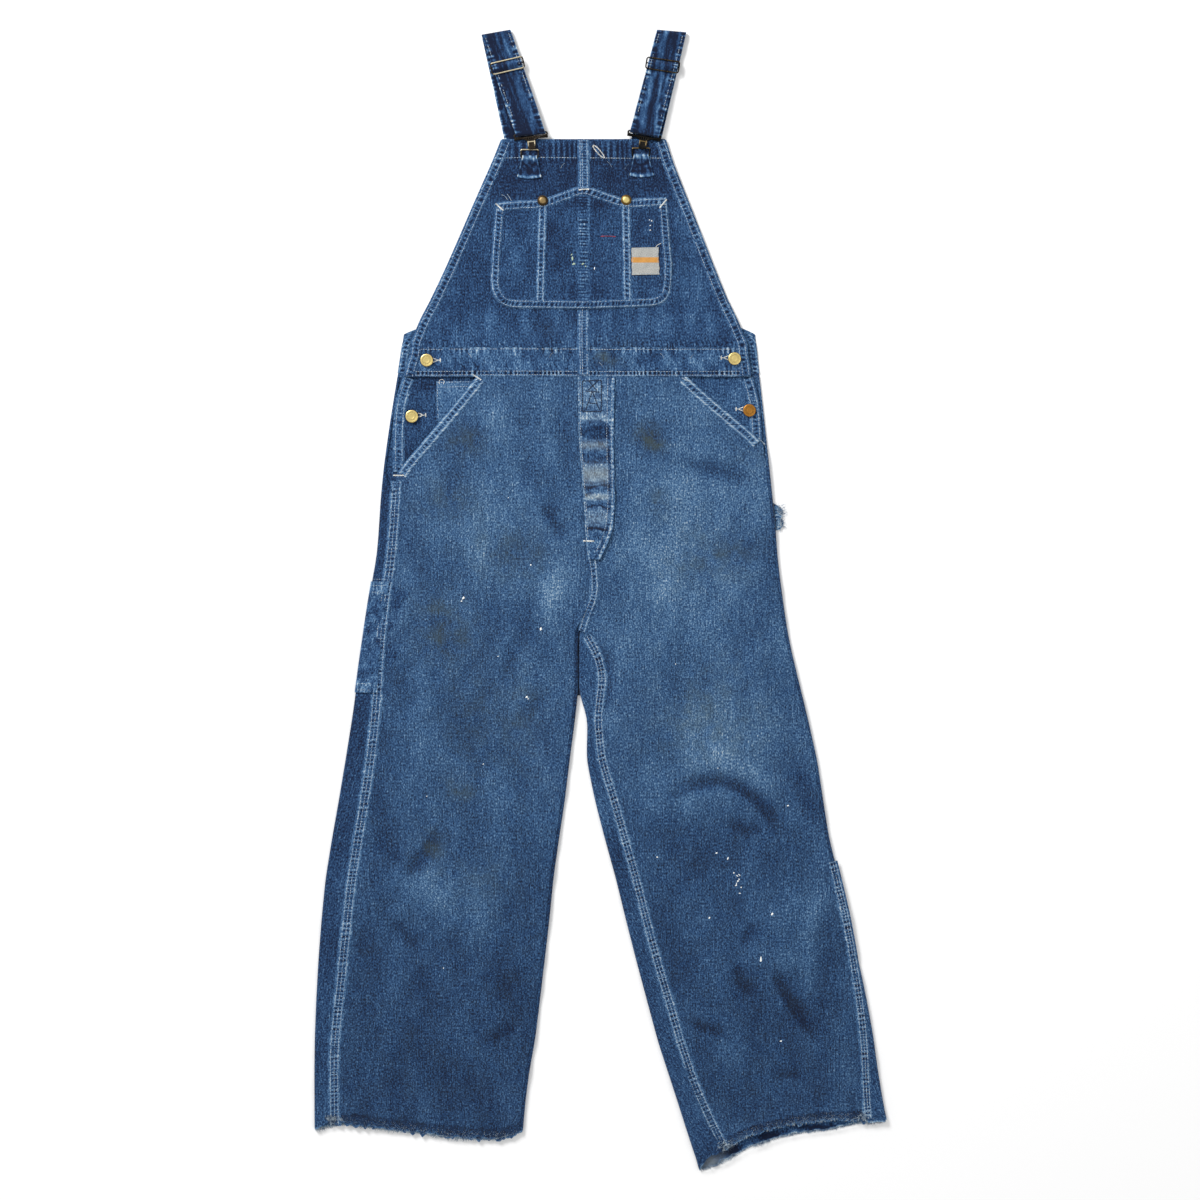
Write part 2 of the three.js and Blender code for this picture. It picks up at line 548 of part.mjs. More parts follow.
for (const [name, strap] of Object.entries(STRAPS)) {
  const { length } = onStrap(strap);
  const sliderTurn = strap.sliderTilt * DEGREE;
  frame(`slider_${name}`, strap, SLIDER_AT, SLIDER_Z, sliderTurn, sliderOuter, sliderSlots);
  const bar = length - STRAP_RADIUS - WEBBING / 2;
  const turn = strap.endTilt * DEGREE;
  frame(`bib_buckle_${name}`, strap, bar, BAR_Z, turn, buckleOuter, [buckleHole]);

  const [x, y] = RINGS[name];
  const ring = outline(box(RING_HALF[0], -RING_HALF[1], RING_HALF[1]));
  ring.holes.push(outline(box(RING_HALF[0] - WIRE, WIRE - RING_HALF[1], RING_HALF[1] - WIRE)));
  addPlate(`tab_ring_${name}`, ring, WIRE, RING_Z - WIRE / 2, antiqueBrass).position.set(x, y, 0);

  // The tab lies on the bib, rises over the ring's lower bar and turns down inside the ring.
  const barY = y - RING_HALF[1] + WIRE / 2;
  const tabLow = BIB_TOP_Z + GAP + CLOTH / 2;
  const turned = arc([barY, RING_Z], 2.1, 90, 0, 2);
  const tab = [[barY - 25.5, tabLow, 15.5], [barY - 12, tabLow, 12.4], [barY - 6, 5, 11],
    ...turned.map(([py, pz]) => [py, pz, 9.4])];
  const skin = (offset) => tab.map(([py, pz, halfWidth], i) => {
    const before = tab[Math.max(i - 1, 0)];
    const after = tab[Math.min(i + 1, tab.length - 1)];
    const tangent = new THREE.Vector2(after[0] - before[0], after[1] - before[1]).normalize();
    return [-1, 1].map((edge) => new THREE.Vector3(
      x + edge * halfWidth,
      py - tangent.y * offset,
      pz + tangent.x * offset,
    ));
  });
  addWall(`tab_${name}`, skin(CLOTH / 2), skin(-CLOTH / 2), darkDenim);
}

// ---- buttons and rivets: domed caps on short shanks ----
const ROUND_SEGMENTS = 14;
function addCap(name, radius, x, y, z) {
  const profile = [[0, 0], [0.5, 0], [0.55, 0.8], [0.97, 0.9], [1, 1.8], [0.85, 2.6], [0.45, 3.1],
    [0, 3.2]];
  const points = profile.map(([r, height]) => new THREE.Vector2(r * radius, height));
  const mesh = addMesh(name, new THREE.LatheGeometry(points, ROUND_SEGMENTS), brass);
  mesh.rotation.x = Math.PI / 2;
  mesh.position.set(x, y, z);
}
const WAIST_BUTTONS = { left: [-222.5, 307.6], right: [171.2, 309.6] };
const HIP_BUTTONS = { left: [-241.7, 236], right: [190.3, 243.6] };
const RIVETS = { left: [-74.3, 512.1], right: [32.6, 512.7] };
for (const name of ['left', 'right']) {
  addCap(`waist_button_${name}`, BUTTON_RADIUS, ...WAIST_BUTTONS[name], HIP_Z + CLOTH + GAP);
  addCap(`hip_button_${name}`, BUTTON_RADIUS, ...HIP_BUTTONS[name], FACING_Z + CLOTH + GAP);
  addCap(`rivet_${name}`, RIVET_RADIUS, ...RIVETS[name], POCKET_Z + CLOTH + GAP);
}

// The origin is on the surface below the middle of the laid garment.
garment.updateMatrixWorld(true);
const middle = new THREE.Box3().setFromObject(garment, true).getCenter(new THREE.Vector3());
garment.position.set(-middle.x, -middle.y, 0);

export default garment;
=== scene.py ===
"""Paint spattered denim bib dungarees, laid out flat with the front up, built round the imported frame."""

import math

import bpy
import numpy as np
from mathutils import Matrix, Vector
from mathutils.bvhtree import BVHTree


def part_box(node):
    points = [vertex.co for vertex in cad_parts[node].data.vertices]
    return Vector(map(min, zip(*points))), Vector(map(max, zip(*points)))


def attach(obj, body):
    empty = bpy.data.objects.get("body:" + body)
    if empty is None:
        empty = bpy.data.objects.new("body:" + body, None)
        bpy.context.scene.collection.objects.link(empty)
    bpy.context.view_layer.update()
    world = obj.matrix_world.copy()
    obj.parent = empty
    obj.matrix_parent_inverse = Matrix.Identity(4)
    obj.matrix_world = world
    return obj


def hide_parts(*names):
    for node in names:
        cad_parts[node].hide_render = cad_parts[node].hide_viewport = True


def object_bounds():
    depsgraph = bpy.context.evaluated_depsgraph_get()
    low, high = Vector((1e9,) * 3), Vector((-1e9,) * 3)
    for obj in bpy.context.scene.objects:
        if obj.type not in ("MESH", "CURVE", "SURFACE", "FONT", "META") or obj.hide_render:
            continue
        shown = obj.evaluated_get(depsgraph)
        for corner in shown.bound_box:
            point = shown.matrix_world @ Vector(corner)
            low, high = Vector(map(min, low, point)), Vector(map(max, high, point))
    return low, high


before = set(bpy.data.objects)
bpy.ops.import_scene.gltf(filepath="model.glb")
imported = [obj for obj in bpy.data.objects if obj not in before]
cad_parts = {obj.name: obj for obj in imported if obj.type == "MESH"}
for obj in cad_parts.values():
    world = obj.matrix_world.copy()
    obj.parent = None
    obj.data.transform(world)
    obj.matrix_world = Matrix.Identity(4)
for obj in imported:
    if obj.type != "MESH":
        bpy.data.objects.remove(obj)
frame_low, frame_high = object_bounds()

# ---- Back legs ----
# The two back trouser panels lie on the surface and roll round the sides to the seams on the front.
# They are one layer of indigo denim: blue warp over a pale weft, washed and worn down along every ridge.
MM = 0.001
DENIM = 1.1 * MM  # thickness of one layer of the cloth
BACK_STEP = 8 * MM  # distance between the points of a back panel
WRAP_STEPS = 8  # points round the turned side of a leg


def fade(start, end, at):
    """0 at start, 1 at end, and smooth between."""
    share = np.clip((at - start) / (end - start), 0, 1)
    return share * share * (3 - 2 * share)


def fade_mm(start, end, at):
    """The same, with start and end in mm."""
    return fade(start * MM, end * MM, at)


def mix(a, b, share):
    return a + (b - a) * share


def wires(node):
    """The two ends of every edge of a frame node."""
    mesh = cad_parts[node].data
    points = np.empty(len(mesh.vertices) * 3)
    mesh.vertices.foreach_get("co", points)
    ends = np.empty(len(mesh.edges) * 2, int)
    mesh.edges.foreach_get("vertices", ends)
    points = points.reshape(-1, 3)
    return points[ends[0::2]], points[ends[1::2]]


def crossings(edges, level, axis):
    """The points where a node's edges cross a level of one axis."""
    a, b = edges
    level = level + 1e-7
    hit = (a[:, axis] - level) * (b[:, axis] - level) < 0
    a, b = a[hit], b[hit]
    share = (level - a[:, axis]) / (b[:, axis] - a[:, axis])
    return a + (b - a) * share[:, None]


def softened(values, reach):
    """A row of values with its corners eased over a few steps, its ends kept."""
    if reach < 1:
        return values
    steps = np.arange(-3 * reach, 3 * reach + 1)
    kernel = np.exp(-0.5 * (steps / reach) ** 2)
    before = 2 * values[0] - values[3 * reach:0:-1]
    after = 2 * values[-1] - values[-2:-3 * reach - 2:-1]
    return np.convolve(np.concatenate([before, values, after]), kernel / kernel.sum(), "valid")


def reach_of(edges, levels, axis, pick, ease):
    """The least or greatest place of a node's edges along the other flat axis, level by level."""
    found = np.full(len(levels), np.nan)
    for i, level in enumerate(levels):
        cut = crossings(edges, level, axis)
        if len(cut):
            found[i] = pick(cut[:, 1 - axis])
    known = np.isfinite(found)
    found = np.interp(levels, levels[known], found[known])
    return softened(found, min(ease, len(levels) // 8))


class Outline:
    """The outline of a frame node seen from above: its left and right sides against y, its ends against x."""

    def __init__(self, node, ease=2, whole_ends=False):
        edges = wires(node)
        points = np.concatenate(edges)
        low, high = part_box(node)
        self.low, self.high = low, high
        x, y = points[:, 0], points[:, 1]
        corners = points[np.argmin(x + y)], points[np.argmin(y - x)]
        step = 4 * MM
        self.sides = []
        for corner, pick in zip(corners, (np.min, np.max)):
            count = max(8, int((high.y - corner[1]) / step))
            levels = np.linspace(corner[1] + 0.2 * MM, high.y - 0.2 * MM, count)
            self.sides.append((levels, reach_of(edges, levels, 1, pick, ease)))
        self.ends = []
        start, stop = (low.x, high.x) if whole_ends else (corners[0][0], corners[1][0])
        across = np.linspace(start + 0.2 * MM, stop - 0.2 * MM, max(8, int((stop - start) / step)))
        for pick in (np.min, np.max):
            self.ends.append((across, reach_of(edges, across, 0, pick, ease)))

    def left(self, y):
        return np.interp(y, *self.sides[0])

    def right(self, y):
        return np.interp(y, *self.sides[1])

    def bottom(self, x):
        return np.interp(x, *self.ends[0])

    def top(self, x):
        return np.interp(x, *self.ends[1])


def undulation(x, y, size, seed, stretch=1.0):
    """A gentle random swell about 1 high, in waves about size mm long that stretch draws out along y."""
    waves = 10
    size = size * MM
    rng = np.random.default_rng(seed)
    total = np.zeros(np.broadcast(x, y).shape)
    for _ in range(waves):
        angle, phase = rng.uniform(0, 2 * math.pi, 2)
        length = size * rng.uniform(0.6, 1.6)
        total += np.sin((x * math.cos(angle) + y * math.sin(angle) / stretch) * 2 * math.pi / length + phase)
    return total / math.sqrt(waves / 2)


def outward(grid, side):
    """Unit normals of a grid of points; side is 1 or -1 for the way they face."""
    down = np.gradient(grid, axis=0)
    across = np.gradient(grid, axis=1)
    normal = side * np.cross(across, down)
    return normal / np.maximum(np.linalg.norm(normal, axis=2, keepdims=True), 1e-12)


def mesh_of(name, points, faces, fields, cloth, material, sharp=50, parent=None):
    """A mesh piece from its points and faces, with its values at each point and, on cloth, its cloth map."""
    mesh = bpy.data.meshes.new(name)
    mesh.from_pydata(np.asarray(points).tolist(), [], faces if isinstance(faces, list) else faces.tolist())
    if cloth is not None:
        corners = np.empty(len(mesh.loops), int)
        mesh.loops.foreach_get("vertex_index", corners)
        mesh.uv_layers.new(name="cloth").data.foreach_set("uv", cloth[corners].astype(np.float32).ravel())
    for field, values in fields.items():
        layer = mesh.attributes.new(field, "FLOAT", "POINT")
        layer.data.foreach_set("value", np.asarray(values, np.float32).ravel())
    mesh.polygons.foreach_set("use_smooth", np.ones(len(mesh.polygons), bool))
    if sharp:
        mesh.set_sharp_from_angle(angle=math.radians(sharp))
    mesh.materials.append(material)
    piece = bpy.data.objects.new(name, mesh)
    bpy.context.scene.collection.objects.link(piece)
    piece.parent = parent
    return piece


def shell(name, grid, side, fields, material, thickness=DENIM, reverse=1.0, shift=(0.0, 0.0), parent=None):
    """A closed layer of cloth whose outer face is a grid of points. Values of fields lie on the same grid."""
    rows, cols = grid.shape[:2]
    inner = grid - outward(grid, side) * thickness
    points = np.concatenate([grid.reshape(-1, 3), inner.reshape(-1, 3)])
    index = np.arange(rows * cols).reshape(rows, cols)
    face = np.stack([index[:-1, :-1], index[1:, :-1], index[1:, 1:], index[:-1, 1:]], axis=-1).reshape(-1, 4)
    rim = np.concatenate([index[0, :], index[1:, -1], index[-1, -2::-1], index[-2:0:-1, 0]])
    after = np.roll(rim, -1)
    edge = np.stack([rim, after, after + rows * cols, rim + rows * cols], axis=-1)
    quads = np.concatenate([face, face[:, ::-1] + rows * cols, edge])
    if side > 0:
        quads = quads[:, ::-1]
    strides = np.linalg.norm(np.diff(grid, axis=1), axis=2)
    run = np.concatenate([np.zeros((rows, 1)), np.cumsum(strides, axis=1)], axis=1)
    middle = cols // 2
    cloth = np.stack([run - run[:, middle:middle + 1] + grid[:, middle:middle + 1, 0] + shift[0],
                      grid[:, :, 1] + shift[1]], axis=-1).reshape(-1, 2)
    both = {field: np.tile(np.broadcast_to(values, (rows, cols)).ravel(), 2) for field,
            values in fields.items()}
    both["reverse"] = np.concatenate([np.zeros(rows * cols), np.broadcast_to(reverse, (rows, cols)).ravel()])
    return mesh_of(name, points, quads, both, np.tile(cloth, (2, 1)), material, parent=parent)


def stand_for(piece, node):
    """Puts a piece in the place of a plain frame node."""
    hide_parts(node)
    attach(piece, "root")


def as_cloth(piece, node):
    """Puts a piece of cloth in the place of its frame node, as stand_for does."""
    stand_for(piece, node)


def tint(red, green, blue):
    """A colour as seen, 0 to 255, in the linear values that the shaders take."""
    seen = np.array([red, green, blue]) / 255
    linear = np.where(seen <= 0.04045, seen / 12.92, ((seen + 0.055) / 1.055) ** 2.4)
    return (*linear.tolist(), 1.0)


class Nodes:
    """Adds and links shader nodes in one tree."""

    def __init__(self, tree):
        self.tree = tree

    def add(self, kind, settings=None, **inputs):
        node = self.tree.nodes.new(kind)
        for key, value in (settings or {}).items():
            setattr(node, key, value)
        for key, value in inputs.items():
            socket = node.inputs[int(key[1:])] if key[0] == "_" else node.inputs[key.replace("_", " ")]
            if isinstance(value, bpy.types.NodeSocket):
                self.tree.links.new(value, socket)
            else:
                socket.default_value = value
        return node

    def math(self, operation, a, b=0.0):
        return self.add("ShaderNodeMath", {"operation": operation}, _0=a, _1=b).outputs[0]

    def blend(self, share, a, b):
        return self.add("ShaderNodeMix", {"data_type": "RGBA"}, _0=share, _6=a, _7=b).outputs[2]

    def noise(self, vector, scale, detail=2.0, roughness=0.5):
        return self.add("ShaderNodeTexNoise", Vector=vector, Scale=scale, Detail=detail,
                        Roughness=roughness).outputs["Fac"]

    def bands(self, way, vector, scale, distortion=0.0, detail=2.0):
        return self.add("ShaderNodeTexWave", {"bands_direction": way}, Vector=vector, Scale=scale,
                        Distortion=distortion, Detail=detail).outputs["Fac"]

    def scaled(self, vector, scale, turn=0.0):
        return self.add("ShaderNodeMapping", Vector=vector, Scale=scale,
                        Rotation=(0, 0, turn)).outputs[0]

    def ramp(self, value, stops):
        node = self.add("ShaderNodeValToRGB", Fac=value)
        while len(node.color_ramp.elements) < len(stops):
            node.color_ramp.elements.new(0.5)
        for element, (position, colour) in zip(node.color_ramp.elements, stops):
            element.position = position
            element.color = colour
        return node.outputs["Color"]

    def value(self, field):
        """A value that the mesh keeps at each point."""
        settings = {"attribute_type": "GEOMETRY", "attribute_name": field}
        return self.add("ShaderNodeAttribute", settings).outputs["Fac"]

    def cloth_map(self):
        return self.add("ShaderNodeUVMap", {"uv_map": "cloth"}).outputs["UV"]

    def place(self):
        return self.add("ShaderNodeTexCoord").outputs["Object"]

    def bump(self, strength, distance, height):
        return self.add("ShaderNodeBump", Strength=strength, Distance=distance * MM, Height=height).outputs[0]

    def surface(self, **inputs):
        """A Principled surface, joined to the material's output."""
        made = self.add("ShaderNodeBsdfPrincipled", **inputs).outputs[0]
        self.add("ShaderNodeOutputMaterial", Surface=made)


def bare_material(name):
    """A new material with no nodes in it, and the Nodes that fills it."""
    material = bpy.data.materials.new(name)
    material.use_nodes = True
    material.node_tree.nodes.clear()
    return material, Nodes(material.node_tree)


def new_group(name, inputs, outputs):
    """An empty shader node group with named sockets, as (its tree, its nodes, its inputs, its outputs)."""
    tree = bpy.data.node_groups.new(name, "ShaderNodeTree")
    for socket, kind, start in inputs:
        made = tree.interface.new_socket(socket, in_out="INPUT", socket_type="NodeSocket" + kind)
        if start is not None:
            made.default_value = start
    for socket, kind in outputs:
        tree.interface.new_socket(socket, in_out="OUTPUT", socket_type="NodeSocket" + kind)
    nodes = Nodes(tree)
    return tree, nodes, nodes.add("NodeGroupInput").outputs, nodes.add("NodeGroupOutput").inputs


# The weave: pale weft flecks between the blue warp, long slubs down the warp, a faint steep twill.
weave, n, given, out = new_group(
    "twill_weave",
    [("Cloth", "Vector", None), ("Fleck", "Float", 1.2), ("Slub", "Float", 0.5)],
    [("Tone", "Float"), ("Height", "Float")],
)
fleck = n.noise(n.scaled(given["Cloth"], (600, 390, 1)), 1.0, 2.0, 0.6)
slub = n.noise(n.scaled(given["Cloth"], (600, 90, 1)), 1.0, 2.0, 0.5)
streak = n.noise(n.scaled(given["Cloth"], (460, 24, 1)), 1.0, 2.0, 0.5)
mottle = n.noise(given["Cloth"], 70.0, 3.0, 0.6)
twill = n.bands("X", n.scaled(given["Cloth"], (1, 1, 1), 0.45), 420.0, 1.2, 1.0)
flecked = n.math("MULTIPLY", n.math("SUBTRACT", fleck, 0.5), given["Fleck"])
slubbed = n.math("MULTIPLY", n.math("SUBTRACT", slub, 0.5), given["Slub"])
streaked = n.math("MULTIPLY", n.math("SUBTRACT", streak, 0.5), 0.75)
mottled = n.math("MULTIPLY", n.math("SUBTRACT", mottle, 0.5), 0.1)
twilled = n.math("MULTIPLY", n.math("SUBTRACT", twill, 0.5), 0.05)
tone = n.math("ADD", n.math("ADD", flecked, slubbed), n.math("ADD", n.math("ADD", mottled, streaked),
                                                             twilled))
n.tree.links.new(tone, out["Tone"])
height = n.math("ADD", n.math("MULTIPLY", twill, 0.35), n.math("ADD", n.math("MULTIPLY", slub, 0.4), fleck))
n.tree.links.new(height, out["Height"])

# The dye: from raw dark indigo to cloth worn nearly white, with a dull stain over it. The value that drives
# it holds both wear and painted shading.
dye, n, given, out = new_group(
    "indigo_wear",
    [("Tone", "Float", 0.0), ("Worn", "Float", 0.0), ("Stain", "Float", 0.0), ("Reverse", "Float", 0.0),
     ("Rust", "Float", 0.0), ("Depth", "Float", 0.0), ("Cloth", "Vector", None)],
    [("Color", "Color"), ("Roughness", "Float")],
)
INDIGO = ((0.0, tint(7, 20, 45)), (0.24, tint(26, 54, 90)), (0.42, tint(46, 79, 117)),
          (0.56, tint(69, 103, 139)), (0.7, tint(98, 131, 162)), (0.84, tint(140, 162, 180)),
          (1.0, tint(190, 198, 200)))
STAIN = tint(58, 69, 64)
RUST = tint(150, 150, 130)
WEFT = tint(150, 162, 174)
worn = n.math("ADD", n.math("ADD", given["Tone"], given["Worn"]), given["Depth"])
shade = n.math("ADD", n.math("MULTIPLY", worn, 0.5), 0.45)
blue = n.ramp(shade, INDIGO)
blotch = n.math("MULTIPLY", n.math("SUBTRACT", n.noise(given["Cloth"], 55.0, 4.0, 0.65), 0.34), 3.2)
patchy = n.math("MULTIPLY", given["Stain"], n.math("MAXIMUM", blotch, 0.0))
stained = n.blend(n.math("MINIMUM", n.math("MULTIPLY", patchy, 0.85), 0.66), blue, STAIN)
rusted = n.blend(n.math("MULTIPLY", given["Rust"], 0.45), stained, RUST)
turned = n.blend(n.math("MULTIPLY", given["Reverse"], 0.85), rusted, WEFT)
n.tree.links.new(turned, out["Color"])
n.tree.links.new(n.math("SUBTRACT", 0.95, n.math("MULTIPLY", given["Stain"], 0.12)), out["Roughness"])



def denim_finish(name, depth=0.0, fleck=3.2, slub=1.0):
    """A denim: depth shifts the blue lighter or darker, fleck and slub are the contrast of the weave."""
    material, n = bare_material(name)
    cloth = n.cloth_map()
    woven = n.add("ShaderNodeGroup", {"node_tree": weave}, Cloth=cloth, Fleck=fleck, Slub=slub).outputs
    dyed = n.add("ShaderNodeGroup", {"node_tree": dye}, Tone=woven["Tone"], Worn=n.value("worn"),
                 Stain=n.value("stain"), Reverse=n.value("reverse"), Rust=n.value("rust"), Depth=depth,
                 Cloth=cloth).outputs
    n.surface(Base_Color=dyed["Color"], Roughness=dyed["Roughness"],
              Normal=n.bump(0.55, 0.5, woven["Height"]), Specular_IOR_Level=0.18, Sheen_Weight=0.12,
              Sheen_Roughness=0.5)
    return material


denim = denim_finish("washed_denim", depth=-0.05)


def height_of(*pieces, rising=False):
    """A function that gives the highest point of some pieces at each x, y, or the lowest where rising."""
    points, faces = [], []
    for piece in pieces:
        start = len(points)
        points.extend(v.co for v in piece.data.vertices)
        faces.extend([start + i for i in f.vertices] for f in piece.data.polygons)
    tree = BVHTree.FromPolygons(points, faces)
    way = Vector((0, 0, 1 if rising else -1))
    start_z = -0.1 if rising else 0.1

    def height(x, y):
        flat_x, flat_y = np.ravel(x), np.ravel(y)
        found = np.empty(len(flat_x))
        for i, (px, py) in enumerate(zip(flat_x.tolist(), flat_y.tolist())):
            hit = tree.ray_cast(Vector((px, py, start_z)), way)[0]
            if hit is None:
                hit = tree.find_nearest(Vector((px, py, start_z / 10)))[0]
            found[i] = hit.z
        return found.reshape(np.shape(x))

    return height


def arms(node, shape):
    """How high the turned sides of a node reach and how far they come in over its front, against y."""
    edges = wires(node)
    found = []
    for (levels, _), side, way in zip(shape.sides, (shape.left, shape.right), (1, -1)):
        rows = []
        for y in levels:
            cut = crossings(edges, y, 1)
            inward = (cut[:, 0] - side(y)) * way
            arm = cut[(cut[:, 2] > 2.2 * MM) & (inward < 60 * MM)]
            rows.append((arm[:, 2].max(), ((arm[:, 0] - side(y)) * way).max()))
        tops, wraps = np.array(rows).T
        found.append((levels, softened(tops, 2), softened(wraps, 1)))
    return found


def rolled(edge, top, low, wrap, way, flat=5):
    """x and z of cloth that runs from its seam on the front out to a folded side and rolls round to below."""
    radius = (top - low) / 2
    angle = np.linspace(math.pi / 2, -math.pi / 2, WRAP_STEPS)
    x = np.concatenate([np.linspace(edge + way * wrap, edge + way * radius, flat)[:-1],
                        edge + way * radius * (1 - np.cos(angle))])
    return x, np.concatenate([np.full(flat - 1, top), low + radius + radius * np.sin(angle)])


def spot(x, y, place, size, turn=0.0):
    """A soft round or long patch, 1 in the middle: its place, its half sizes and its turn in degrees."""
    dx, dy = x - place[0] * MM, y - place[1] * MM
    c, s = math.cos(math.radians(turn)), math.sin(math.radians(turn))
    u, v = (dx * c + dy * s) / (size[0] * MM), (dy * c - dx * s) / (size[1] * MM)
    return np.exp(-(u * u + v * v))


# Shade painted into the hollows inside the open hems: place, half sizes, how much darker.
HEM_HOLLOW_SHADE = {
    "left": [((-323, -675), (12, 4), 1.0), ((-150, -690), (40, 2), 0.5)],
    "right": [((221, -688), (15, 6), 1.8), ((168, -704), (10, 6), 1.6), ((290, -675), (34, 3), 1.4),
              ((345, -666), (10, 4), 0.9)],
}


def back_leg(name, seed, tone):
    """A back trouser panel as one wall: seam on the front, round the side, under, and up the other side."""
    node = f"back_leg_{name}"
    shape = Outline(node)
    (left_levels, left_tops, left_wraps), (right_levels, right_tops, right_wraps) = arms(node, shape)
    under = height_of(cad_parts[node], rising=True)
    rows = int((shape.high.y - shape.low.y) / BACK_STEP) + 1
    cols = int((shape.high.x - shape.low.x) / BACK_STEP)
    down = 1 - (1 - np.linspace(0, 1, rows)) ** 1.4  # the rows are closer together near the hem
    pull = fade(0.8, 1, down) ** 1.5
    grid = np.zeros((rows, 8 + 2 * WRAP_STEPS + cols, 3))
    for r, level in enumerate(mix(shape.high.y, shape.low.y, down)):
        left_y = level + pull[r] * (left_levels[0] - shape.low.y)
        right_y = level + pull[r] * (right_levels[0] - shape.low.y)
        left, right = shape.left(left_y), shape.right(right_y)
        across = np.linspace(left + 3 * MM, right - 3 * MM, cols)
        drop = pull[r] * (shape.bottom(across) - shape.low.y)
        inside = np.clip(level + drop, shape.bottom(across) + 1 * MM, shape.high.y - 1 * MM)
        height = softened(under(across, inside), 1)
        left_x, left_z = rolled(left, np.interp(left_y, left_levels, left_tops), height[0],
                                np.interp(left_y, left_levels, left_wraps), 1)
        right_x, right_z = rolled(right, np.interp(right_y, right_levels, right_tops), height[-1],
                                  np.interp(right_y, right_levels, right_wraps), -1)
        x = np.concatenate([left_x, across, right_x[::-1]])
        grid[r, :, 0], grid[r, :, 2] = x, np.concatenate([left_z, height, right_z[::-1]])
        grid[r, :, 1] = level + pull[r] * (shape.bottom(x) - shape.low.y)
    x, y = grid[..., 0], grid[..., 1]
    arm = fade_mm(2.5, 4, grid[..., 2])
    grid[..., 2] += arm * 0.35 * MM * undulation(x, y, 45, seed)
    worn = tone + 0.1 * undulation(x, y, 90, seed + 1, 2) + 0.12 * (1 - arm)
    # Where the back hem turns up its reverse shows, painted darker and duller as the shade it lies in.
    turned_up_in_shade = spot(x, y, (142, -723), (17, 15)) * (1 - arm)
    hem = y - shape.bottom(x)
    # The hollows inside the open hems are painted darker as shade, on the flat cloth near the hem.
    hollow_shade = sum(depth * spot(x, y, place, size) for place, size, depth in HEM_HOLLOW_SHADE[name])
    worn = worn + 0.9 * fade_mm(4, 0.4, hem) - hollow_shade * (1 - arm) * fade_mm(0, 4, hem)
    torn = undulation(x, x, 17, seed + 3) + 0.6 * undulation(x, x, 7, seed + 4)
    grid[..., 1] += 1.1 * MM * torn * fade_mm(18, 0, hem) + 11 * MM * arm * spot(x, y, (142, -725), (13, 17))
    piece = shell(f"back_panel_{name}", grid, 1, {"worn": worn - 0.5 * turned_up_in_shade, "stain": turned_up_in_shade}, denim,
                  reverse=0.5 * turned_up_in_shade)
    as_cloth(piece, node)
    return piece


back_legs = {"left": back_leg("left", 11, -0.42), "right": back_leg("right", 12, -0.28)}

# ---- Front legs ----
# The two front panels lie on the back ones, stitched to them down the side and the inner leg.
# Wear has bleached the thighs and the right knee, and the cloth keeps the soft creases of its wearer.
FRONT_STEP = 3.4 * MM  # distance between the points of a front panel
FRONT_REST = 2.9 * MM  # the front panels lie no lower than this on the back ones


def hump(at, middle, half, power=2):
    """A soft rise, 1 at its middle, both sizes in mm; a higher power flattens its top."""
    return np.exp(-(((at - middle * MM) / (half * MM)) ** power))


def by_levels(shape, step, bend=0.2, wide=1):
    """Points over an outline, row by row from the top, that follow its sides and bend to its bottom end."""
    rows = int((shape.high.y - shape.low.y) / step) + 1
    cols = int((shape.high.x - shape.low.x) / step / wide) + 1
    down, across = np.meshgrid(np.linspace(0, 1, rows), np.linspace(0, 1, cols), indexing="ij")
    level = mix(shape.high.y, shape.low.y, down)
    pull = fade(1 - bend, 1, down) ** 1.5
    x = mix(shape.left(level), shape.right(level), across)
    for _ in range(3):
        y = level + pull * (shape.bottom(x) - shape.low.y)
        x = mix(shape.left(y), shape.right(y), across)
    return x, y


def blurred(grid, reach):
    """A grid of values eased over some cells both ways."""
    for axis in (0, 1):
        grid = np.apply_along_axis(softened, axis, grid, min(reach, grid.shape[axis] // 7))
    return grid


def crease(x, y, line, height, width, lean=1.0):
    """A soft ridge along a line, or a trough where height is negative. lean widens its left side."""
    line = np.array(line) * MM
    spans = np.linalg.norm(np.diff(line, axis=0), axis=1)
    nearest = np.full(np.shape(x), 1e9)
    side, along = np.zeros(np.shape(x)), np.zeros(np.shape(x))
    run = 0.0
    for (ax, ay), (bx, by), span in zip(line[:-1], line[1:], spans):
        dx, dy = (bx - ax) / span, (by - ay) / span
        t = np.clip((x - ax) * dx + (y - ay) * dy, 0, span)
        off_x, off_y = x - ax - t * dx, y - ay - t * dy
        distance = np.hypot(off_x, off_y)
        closer = distance < nearest
        side = np.where(closer, np.sign(dx * off_y - dy * off_x), side)
        along = np.where(closer, (run + t) / spans.sum(), along)
        nearest = np.minimum(nearest, distance)
        run += span
    wide = np.where(side > 0, width * lean, width) * MM
    taper = fade(0, 0.3, along) * fade(1, 0.7, along)
    return height * MM * np.exp(-((nearest / wide) ** 2)) * taper


